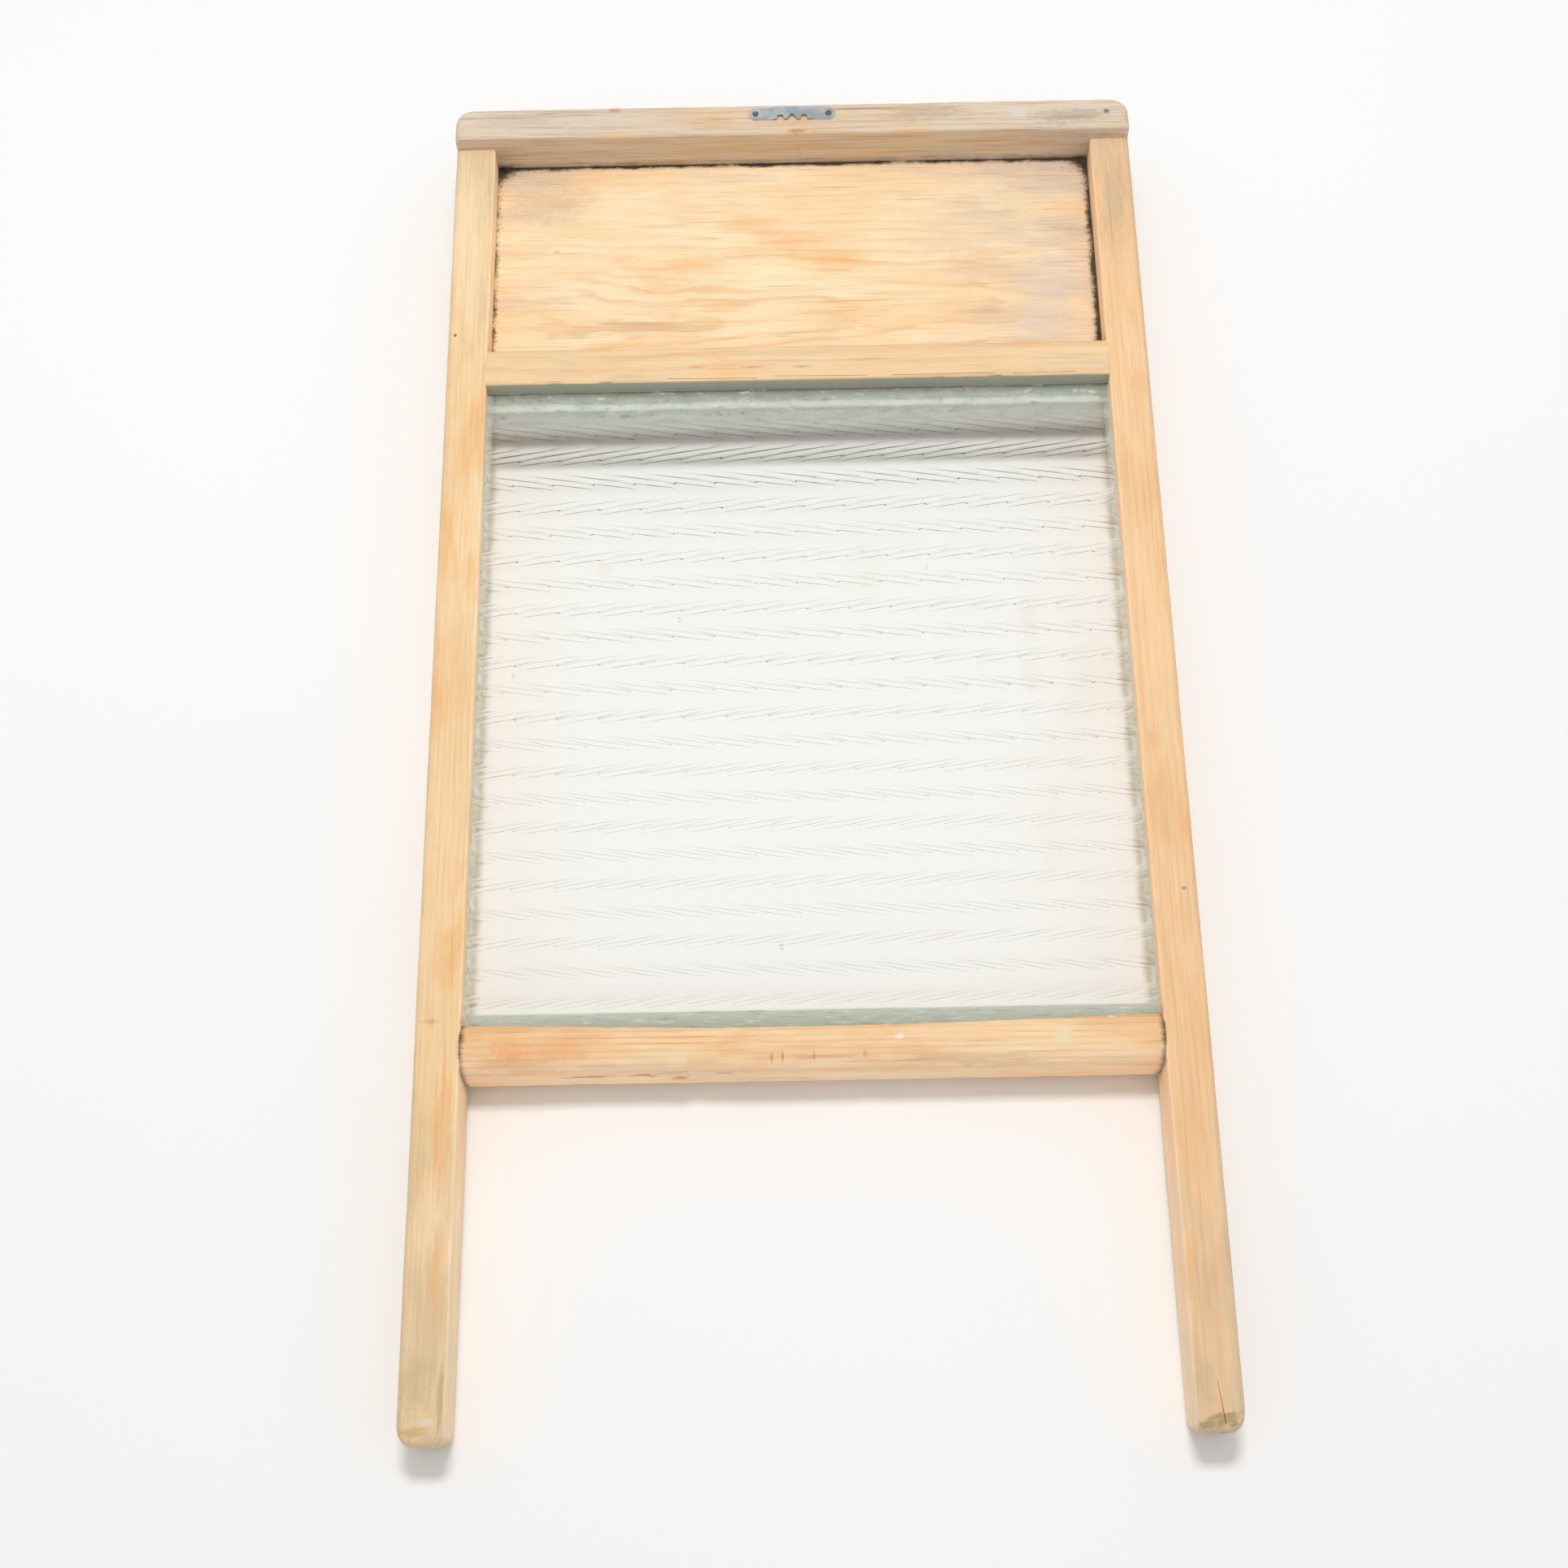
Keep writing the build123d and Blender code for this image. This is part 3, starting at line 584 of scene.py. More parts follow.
def make_glass_material():
    """Pressed glass: faintly green, frosted where lime has settled on its plain borders, with painted shade along the
    strokes' edges.
    """
    material, w, shader = new_material("pressed_glass")
    coords = w.add("ShaderNodeTexCoord").outputs["Object"]
    parts = w.add("ShaderNodeSeparateXYZ")
    w.join(coords, parts.inputs[0])
    by_stile = w.math("SUBTRACT", HALF_OPENING, w.math("ABSOLUTE", parts.outputs[0]))
    edge_wander = w.math("MULTIPLY", w.math("SUBTRACT", w.noise(coords, 60.0, 4.0), 0.5), 0.004)
    side = w.span(w.math("ADD", by_stile, edge_wander), 0.0060, 0.0008)
    top = w.span(parts.outputs[1], mid_lo.y - 0.017, mid_lo.y - 0.011)
    low = w.span(parts.outputs[1], low_hi.y + 0.006, low_hi.y + 0.001)
    border = w.math("MAXIMUM", top, low)
    haze = w.span(w.noise(w.stretch(coords, (90.0, 260.0, 90.0)), 1.0, 5.0, 0.65), 0.42, 0.72)
    lime = w.math("MULTIPLY", border, haze)
    stain = w.span(w.noise(coords, 14.0, 3.0, 0.5), 0.66, 0.74)
    # Painted shade: the strokes' edges are darkened in the glass's colour, standing in for the dark lines that
    # refraction draws there.
    line = w.span(attribute(w, "painted_stroke_shade"), 0.15, 0.9)
    colour = w.mix(line, srgb(255, 255, 253), srgb(204, 213, 209))
    colour = w.mix(w.math("MULTIPLY", stain, 0.10), colour, srgb(240, 214, 150))
    colour = w.mix(w.math("MULTIPLY", border, 0.8), colour, srgb(208, 214, 198))
    colour = w.mix(w.math("MULTIPLY", lime, 0.6), colour, srgb(240, 240, 228))
    colour = w.mix(w.math("MULTIPLY", side, 0.9), colour, srgb(218, 224, 210))
    for centre, reach, strength, tint in GLASS_MARKS:
        spot = place_group(w, BLOT, Vector=coords, Color=colour, Centre=centre, Reach=reach, Ragged=0.5,
                           Strength=strength, Blot_Color=tint)
        colour = spot.outputs["Color"]
    w.join(colour, shader.inputs["Base Color"])
    frost = w.math("MULTIPLY_ADD", side, 0.45, w.math("MULTIPLY", lime, 0.35))
    w.join(w.math("ADD", frost, 0.07, clamp=True), shader.inputs["Roughness"])
    shader.inputs["Transmission Weight"].default_value = 1.0
    shader.inputs["IOR"].default_value = 1.5
    bump = w.add("ShaderNodeBump")
    bump.inputs["Strength"].default_value = 0.25
    bump.inputs["Distance"].default_value = 0.0004
    ripple = w.noise(w.stretch(coords, (60.0, 240.0, 60.0)), 1.0, 3.0, 0.5)
    w.join(ripple, bump.inputs["Height"])
    w.join(bump.outputs[0], shader.inputs["Normal"])
    path = w.add("ShaderNodeLightPath")
    clear = w.add("ShaderNodeBsdfTransparent")
    clear.inputs["Color"].default_value = (0.997, 1.0, 0.994, 1.0)
    choose = w.add("ShaderNodeMixShader")
    dim = w.math("MAXIMUM", path.outputs["Is Shadow Ray"], path.outputs["Is Diffuse Ray"])
    w.join(dim, choose.inputs[0])
    w.join(shader.outputs[0], choose.inputs[1])
    w.join(clear.outputs[0], choose.inputs[2])
    w.join(choose.outputs[0], material.node_tree.nodes["Material Output"].inputs["Surface"])
    return material


def make_metal(name, bright, dull, patch_scale, rough):
    """Dull sheet zinc or old wire: mottled, with fine scratches."""
    material, w, shader = new_material(name)
    coords = w.add("ShaderNodeTexCoord").outputs["Object"]
    patch = w.span(w.noise(coords, patch_scale, 5.0, 0.6), 0.35, 0.68)
    scratch = w.noise(w.stretch(coords, (300.0, 6000.0, 600.0)), 1.0, 3.0, 0.6)
    w.join(w.mix(patch, bright, dull), shader.inputs["Base Color"])
    shader.inputs["Metallic"].default_value = 1.0
    w.join(w.math("MULTIPLY_ADD", patch, 0.25, w.math("MULTIPLY_ADD", scratch, 0.15, rough)),
           shader.inputs["Roughness"])
    bump = w.add("ShaderNodeBump")
    bump.inputs["Strength"].default_value = 0.2
    bump.inputs["Distance"].default_value = 0.0001
    w.join(scratch, bump.inputs["Height"])
    w.join(bump.outputs[0], shader.inputs["Normal"])
    return material


glass_material = make_glass_material()
zinc_material = make_metal("sheet_zinc", srgb(232, 240, 246), srgb(200, 212, 222), 150.0, 0.28)
steel_material = make_metal("old_wire_steel", srgb(176, 172, 166), srgb(112, 92, 74), 1400.0, 0.42)


# ---------------------------------------------------------------- wooden bars
def pull_in(distance, radius):
    """How far a rounded end of this radius draws a face in, at a distance from the end."""
    away = radius - min(max(distance, 0.0), radius)
    return radius - math.sqrt(max(radius * radius - away * away, 0.0))


def rounded_section(low, high, radii, steps=5, spacing=0.0030):
    """Points round a rectangle, each with how near it is to an arris, 0 to 1."""
    (a0, b0), (a1, b1) = low, high
    centres = [
        (a1 - radii[0], b1 - radii[0]),
        (a0 + radii[1], b1 - radii[1]),
        (a0 + radii[2], b0 + radii[2]),
        (a1 - radii[3], b0 + radii[3]),
    ]
    corners = []
    for quarter, ((ca, cb), radius) in enumerate(zip(centres, radii)):
        arc = []
        for i in range(steps + 1):
            angle = math.pi / 2 * (quarter + i / steps)
            sharp = 1.0 - 1.2 * abs(i / steps - 0.5)
            arc.append((ca + radius * math.cos(angle), cb + radius * math.sin(angle), sharp))
        corners.append(arc)
    points = []
    for arc, following in zip(corners, corners[1:] + corners[:1]):
        points += arc
        start, end = arc[-1], following[0]
        pieces = int(math.dist(start[:2], end[:2]) / spacing) + 1
        for k in range(1, pieces):
            t = k / pieces
            points.append((start[0] + (end[0] - start[0]) * t, start[1] + (end[1] - start[1]) * t, 0.0))
    return points


def stations(start, end, spacing, dense, crowd=9):
    """Places along a bar, crowded within a dense stretch at each end."""
    edge = [dense * (1 - math.cos(math.pi / 2 * i / crowd)) for i in range(crowd + 1)]
    count = max(int((end - start - 2 * dense) / spacing), 1)
    middle = [start + dense + (end - start - 2 * dense) * i / count for i in range(1, count)]
    return [start + e for e in edge] + middle + [end - e for e in reversed(edge)]


def make_bar(name, along, low, high, radii, limits, marks, seed, spacing=0.0028, dense=0.010, steps=5,
             carve=None, ragged=None, mirror=False):
    """A worn wooden bar swept along X or Y.

    limits gives the section's box at each station. marks gives wear and grime at a point. carve moves a
    point before the wood's own unevenness is added, and ragged adds to that unevenness.
    """
    start, end = (low.x, high.x) if along == "X" else (low.y, high.y)
    flat_low = (low.y, low.z) if along == "X" else (low.x, low.z)
    flat_high = (high.y, high.z) if along == "X" else (high.x, high.z)
    section = rounded_section(flat_low, flat_high, radii, steps)
    bm = bmesh.new()
    wear_layer = bm.verts.layers.float.new("wear")
    grime_layer = bm.verts.layers.float.new("grime")
    rings = []
    for s in stations(start, end, spacing, dense):
        a0, a1, b0, b1 = limits(s)
        ring = []
        for a, b, arris in section:
            a_now = a0 + (a - flat_low[0]) / (flat_high[0] - flat_low[0]) * (a1 - a0)
            b_now = b0 + (b - flat_low[1]) / (flat_high[1] - flat_low[1]) * (b1 - b0)
            point = Vector((s, a_now, b_now)) if along == "X" else Vector((a_now, s, b_now))
            if carve:
                point = carve(point)
            at_end = max(0.0, 1.0 - min(s - start, end - s) / 0.004)
            edge = max(arris, at_end)
            wobble = noise.noise(Vector((s * 16 + seed, a_now * 45, b_now * 45)))
            dent = noise.noise(Vector((s * 120 + seed, a_now * 260, b_now * 260)))
            inward = (0.10 + 0.12 * wobble + edge * 0.42 * max(dent, 0.0)) * MM
            if ragged:
                inward += ragged(point, edge, dent)
            wear, grime = marks(point, edge)
            vert = bm.verts.new(point)
            vert[wear_layer] = min(max(wear + 0.5 * edge * max(dent, 0.0), 0.0), 1.0)
            vert[grime_layer] = min(max(grime, 0.0), 1.0)
            ring.append((vert, max(inward, 0.0)))
        rings.append(ring)
    for first, second in zip(rings, rings[1:]):
        for i in range(len(first)):
            j = (i + 1) % len(first)
            bm.faces.new((first[i][0], first[j][0], second[j][0], second[i][0]))
    bm.faces.new([vert for vert, _ in rings[0]])
    bm.faces.new([vert for vert, _ in reversed(rings[-1])])
    bmesh.ops.recalc_face_normals(bm, faces=bm.faces)
    bm.normal_update()
    moves = [(vert, vert.normal * -inward) for ring in rings for vert, inward in ring]
    for vert, move in moves:
        vert.co += move
    if mirror:
        for vert in bm.verts:
            vert.co.x = -vert.co.x
    if bm.calc_volume(signed=True) < 0:
        bmesh.ops.reverse_faces(bm, faces=bm.faces)
    mesh = bpy.data.meshes.new(name)
    bm.to_mesh(mesh)
    bm.free()
    obj = bpy.data.objects.new(name, mesh)
    bpy.context.scene.collection.objects.link(obj)
    return obj


def cutter(shape):
    """A closed box, given by its low and high corner or by its lower and upper four corners."""
    bm = bmesh.new()
    if len(shape) == 2:
        low, high = shape
        shape = [(x, y, z) for z in (low[2], high[2]) for x, y in (
            (low[0], low[1]), (high[0], low[1]), (high[0], high[1]), (low[0], high[1]))]
    v = [bm.verts.new(corner) for corner in shape]
    for ids in ((3, 2, 1, 0), (4, 5, 6, 7), (0, 1, 5, 4), (1, 2, 6, 5), (2, 3, 7, 6), (3, 0, 4, 7)):
        bm.faces.new([v[i] for i in ids])
    mesh = bpy.data.meshes.new("cutter")
    bm.to_mesh(mesh)
    bm.free()
    obj = bpy.data.objects.new("cutter", mesh)
    bpy.context.scene.collection.objects.link(obj)
    return obj


def cut_away(obj, boxes):
    """Cuts boxes out of a piece, one after another."""
    for box in boxes:
        tool = cutter(box)
        modifier = obj.modifiers.new("cut", "BOOLEAN")
        modifier.operation = "DIFFERENCE"
        modifier.solver = "MANIFOLD"
        modifier.object = tool
        settle(obj)
        bpy.data.objects.remove(tool)


def settle(obj):
    """Applies a piece's modifiers, leaving a plain mesh."""
    depsgraph = bpy.context.evaluated_depsgraph_get()
    mesh = bpy.data.meshes.new_from_object(obj.evaluated_get(depsgraph), depsgraph=depsgraph)
    old = obj.data
    obj.modifiers.clear()
    obj.data = mesh
    bpy.data.meshes.remove(old)


def finish_piece(obj, material, slot, *nodes, angle=38):
    """Shades a piece, gives it its material and lets it stand for its CAD nodes."""
    obj.data.materials.clear()
    obj.data.materials.append(material)
    obj.data.polygons.foreach_set("use_smooth", [True] * len(obj.data.polygons))
    obj.data.polygons.foreach_set("material_index", [0] * len(obj.data.polygons))
    if angle:
        obj.data.set_sharp_from_angle(angle=math.radians(angle))
    obj.data.update()
    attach(obj, "root")
    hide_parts(*nodes)


def fade(value, low, high):
    """0 at low, 1 at high, straight between."""
    return min(max((value - low) / (high - low), 0.0), 1.0)


CLEAR = 0.00005
glass_room = ((-0.2, glass_lo.y - CLEAR, glass_lo.z + 0.0015 - CLEAR), (0.2, glass_hi.y + CLEAR, glass_hi.z - 0.0015 + CLEAR))
board_room = ((-0.2, board_lo.y - CLEAR, board_lo.z - CLEAR), (0.2, board_hi.y + CLEAR, board_hi.z + CLEAR))


def between(room, reach):
    """The same room, no further than reach from the middle line."""
    low, high = room
    return ((-reach, low[1], low[2]), (reach, high[1], high[2]))


groove_reach = glass_hi.x + CLEAR


def stile_limits(y):
    """The stile's section at a height: its foot is worn round, mostly at the outer corner."""
    d = y - stile_lo.y
    outer = HALF_WIDTH - 0.7 * pull_in(d, 0.009)
    inner = HALF_OPENING + 0.6 * pull_in(d, 0.007)
    return inner, outer, FRONT + pull_in(d, 0.0030), BACK - pull_in(d, 0.0058)


def worn_heel(point):
    """Slants the end of a leg: it rubbed away most toward the front, where it stood in the tub."""
    run = fade(point.y, FOOT + 0.034, FOOT)
    return Vector((point.x, point.y + run * (0.0004 + 0.155 * (BACK - point.z)), point.z))


def stile_marks(point, edge):
    """Pale arrises, worn feet, and dirt packed where the rails and the plates meet the stile."""
    foot = fade(point.y, FOOT + 0.030, FOOT + 0.002)
    wear = 0.30 * edge + 0.35 * foot
    inner = fade(abs(point.x), HALF_OPENING + 0.0012, HALF_OPENING + 0.0002)
    joint = max(
        fade(abs(point.y - mid_lo.y), 0.006, 0.0), fade(abs(point.y - low_hi.y), 0.005, 0.0),
        fade(abs(point.y - low_lo.y), 0.005, 0.0), fade(abs(point.y - mid_hi.y), 0.006, 0.0),
        fade(SHOULDER - point.y, 0.006, 0.0),
    )
    deep = fade(point.z, BACK - 0.001, board_hi.z)
    above = fade(point.y, mid_hi.y - 0.002, mid_hi.y + 0.002)
    grime = inner * (0.04 + 0.34 * joint + 0.16 * deep * above) + 0.22 * foot * edge
    return wear, grime


def foot_rag(depth):
    """Small losses at the end of a leg."""
    def rag(point, edge, dent):
        foot = fade(point.y, FOOT + 0.012, FOOT)
        return foot * depth * (0.35 * edge + max(dent, 0.0) * 1.6)
    return rag


stile_low = Vector((HALF_OPENING, FOOT, FRONT))
stile_high = Vector((HALF_WIDTH, SHOULDER + 0.0008, BACK))
for side, name, seed, material, rag in (
    (-1, "left", 3.7, left_stile_material, 0.0003), (1, "right", 11.3, right_stile_material, 0.0006),
):
    stile = make_bar(
        f"worn_{name}_stile", "Y", stile_low, stile_high, (0.0026, 0.0016, 0.002, 0.002), stile_limits,
        stile_marks, seed, carve=worn_heel, ragged=foot_rag(rag), mirror=side < 0,
    )
    cuts = [between(glass_room, groove_reach), between(board_room, groove_reach)]
    if side > 0:
        cuts.append([
            (0.14895, -0.3005, 0.0325), (0.14905, -0.3005, 0.0325),
            (0.14735, -0.2855, 0.0342), (0.14728, -0.2855, 0.0342),
            (0.14885, -0.3005, 0.0370), (0.14920, -0.3005, 0.0370),
            (0.14742, -0.2850, 0.0370), (0.14722, -0.2850, 0.0370),
        ])
    cut_away(stile, cuts)
    finish_piece(stile, material, "frame_wood", f"{name}_stile")


def head_limits(x):
    """The head rail's ends are rounded at the top corners and eased everywhere else."""
    d = head_hi.x - abs(x)
    ease = pull_in(d, 0.0028)
    return head_lo.y + pull_in(d, 0.0016), head_hi.y - pull_in(d, 0.009), head_lo.z + ease, HEAD_TOP - ease


def head_marks(point, edge):
    """Pale bruised ends and edges, dirt where the board slides in."""
    end = fade(abs(point.x), head_hi.x - 0.012, head_hi.x - 0.001)
    seam = fade(abs(point.z - board_hi.z), 0.004, 0.0) * fade(point.y, SHOULDER + 0.001, SHOULDER)
    return 0.22 * edge + 0.3 * end, 0.75 * seam + 0.16 * end


HEAD_TOP = 2 * MIDDLE
head = make_bar(
    "worn_head_rail", "X", Vector((head_lo.x, head_lo.y, head_lo.z)), Vector((head_hi.x, head_hi.y, HEAD_TOP)),
    (0.004, 0.0014, 0.001, 0.004), head_limits, head_marks, 21.9, dense=0.012,
)
cut_away(head, [between(board_room, HALF_OPENING + 0.005)])
finish_piece(head, head_material, "frame_wood", "head_rail")


def straight_limits(low, high):
    """A section that stays the same along the whole bar."""
    return lambda s: (low.y, high.y, low.z, high.z)


def middle_marks(point, edge):
    """Soft upper edge rubbed pale, and the underside black with soap dirt above the glass."""
    under = fade(point.y, mid_lo.y + 0.0003, mid_lo.y + 0.0001) * fade(point.z, BACK - 0.0004, BACK - 0.0012)
    upper = fade(point.y, mid_hi.y - 0.004, mid_hi.y) * fade(point.z, BACK - 0.002, board_hi.z)
    return 0.25 * edge * (1 - under), 0.95 * under + 0.45 * upper


rail_low = Vector((-HALF_OPENING - 0.0005, mid_lo.y, FRONT))
rail_high = Vector((HALF_OPENING + 0.0005, mid_hi.y, BACK))
def flaked(point, edge, dent):
    """Small flakes lost along the arris over the glass."""
    side = fade(point.y, mid_lo.y + 0.0014, mid_lo.y + 0.0004) * fade(point.z, BACK - 0.005, BACK - 0.001)
    loss = 0.0003 * max(noise.noise(Vector((point.x * 70, 4.0, 0.0))), 0.0)
    for x0, x1, depth in ((-0.0890, -0.0830, 0.0009), (-0.1120, -0.1060, 0.0005), (0.0600, 0.0660, 0.0005),
                          (0.0860, 0.0900, 0.0009)):
        if x0 <= point.x <= x1:
            loss = max(loss, depth * (0.4 + 0.6 * (point.x - x0) / (x1 - x0)))
    return side * loss


def slit(x0, x1, y0, y1, wide, deep):
    """A fine split in the back face of a rail, running a little off the grain."""
    z0, z1 = BACK - deep, BACK + 0.001
    corners = [(x0, y0), (x1, y1), (x1, y1 + wide), (x0, y0 + wide)]
    return [(x, y, z0) for x, y in corners] + [(x, y, z1) for x, y in corners]


middle = make_bar(
    "worn_middle_rail", "X", rail_low, rail_high, (0.006, 0.0009, 0.001, 0.006),
    straight_limits(rail_low, rail_high), middle_marks, 33.1, spacing=0.0018, dense=0.006, steps=7, ragged=flaked,
)
arris_y = mid_lo.y
cut_away(middle, [
    between(glass_room, 0.2), between(board_room, 0.2),
    slit(-0.058, -0.018, arris_y + 0.0015, arris_y + 0.0010, 0.00022, 0.0012),
    slit(-0.010, 0.031, arris_y + 0.0019, arris_y + 0.0014, 0.00022, 0.0012),
    slit(0.042, 0.088, arris_y + 0.0014, arris_y + 0.0016, 0.00026, 0.0014),
    slit(0.096, 0.124, arris_y + 0.0012, arris_y + 0.0016, 0.00020, 0.0010),
    slit(-0.118, -0.104, arris_y + 0.0010, arris_y + 0.0012, 0.00018, 0.0010),
])
finish_piece(middle, middle_material, "frame_wood", "middle_rail")


WEAR_HALF = 0.137
WEAR_DEPTH = 0.0046
WEAR_RADIUS = (WEAR_HALF ** 2 + (WEAR_DEPTH + 0.0006) ** 2) / (2 * (WEAR_DEPTH + 0.0006))


def hollow_line(x):
    """Height of the worn lip along the bottom rail."""
    return low_hi.y - WEAR_DEPTH + WEAR_RADIUS - math.sqrt(WEAR_RADIUS ** 2 - min(abs(x), WEAR_HALF) ** 2)


def wear_lip(point):
    """Years of rubbing took the rail's back lip down in a long shallow hollow."""
    if point.z < glass_hi.z - 0.004:
        return point
    soft = 0.0004
    over = (point.y - hollow_line(point.x) + 0.0002 * noise.noise(Vector((point.x * 60, 0, 7)))) / soft
    dip = soft * math.log(1 + math.exp(min(over, 30.0)))
    if over > 30:
        dip = over * soft
    return Vector((point.x, point.y - dip, point.z))


def bottom_marks(point, edge):
    """Smooth and pale along the worn lip, dirty under the glass and at the ends."""
    lip = fade(point.y, low_hi.y - 0.007, low_hi.y - 0.004) * fade(point.z, glass_hi.z, BACK - 0.002)
    end = fade(abs(point.x), HALF_OPENING - 0.0030, HALF_OPENING)
    below = fade(point.y, low_lo.y + 0.004, low_lo.y)
    return 0.25 * lip + 0.2 * below, 0.55 * end + 0.12 * below


rail_low = Vector((-HALF_OPENING - 0.0004, low_lo.y, FRONT))
rail_high = Vector((HALF_OPENING + 0.0004, low_hi.y, BACK))
LOST_CHIPS = (
    (-0.1000, -0.0765, 0.0002, 0.0006), (-0.0755, -0.0640, 0.0003, 0.0006), (-0.0630, -0.0575, 0.0005, 0.0007),
    (-0.0495, -0.0280, 0.0010, 0.0001), (0.0180, 0.0260, 0.0002, 0.0005),
)


def chipped(point, edge, dent):
    """Splinters broken from the side toward the feet, each ending in a step."""
    side = fade(point.y, low_lo.y + 0.0045, low_lo.y + 0.0010) * fade(point.z, MIDDLE - 0.0085, MIDDLE - 0.0040)
    loss = 0.0
    for x0, x1, first, last in LOST_CHIPS:
        if x0 <= point.x <= x1:
            loss = max(loss, first + (last - first) * (point.x - x0) / (x1 - x0))
    return side * loss * (1.0 + 0.5 * dent)


bottom = make_bar(
    "worn_bottom_rail", "X", rail_low, rail_high, (0.0085,) * 4, straight_limits(rail_low, rail_high),
    bottom_marks, 47.7, spacing=0.0012, dense=0.006, steps=9, carve=wear_lip, ragged=chipped,
)


def side_slit(x0, x1, z0, z1, wide):
    """A fine split in the rail's side toward the feet, following the grain."""
    low_y, high_y = low_lo.y - 0.001, low_lo.y + 0.0035
    corners = [(x0, low_y, z0), (x1, low_y, z1), (x1, high_y, z1), (x0, high_y, z0)]
    return corners + [(x, y, z + wide) for x, y, z in corners]


cut_away(bottom, [
    between(glass_room, 0.2),
    side_slit(-0.0960, -0.0770, 0.0246, 0.0262, 0.0005),
    side_slit(-0.0760, -0.0640, 0.0242, 0.0258, 0.0006),
    side_slit(-0.0635, -0.0520, 0.0260, 0.0270, 0.0007),
    side_slit(-0.0385, -0.0315, 0.0250, 0.0254, 0.0010),
    side_slit(0.0160, 0.0340, 0.0250, 0.0254, 0.0004),
])
finish_piece(bottom, bottom_material, "frame_wood", "bottom_rail")


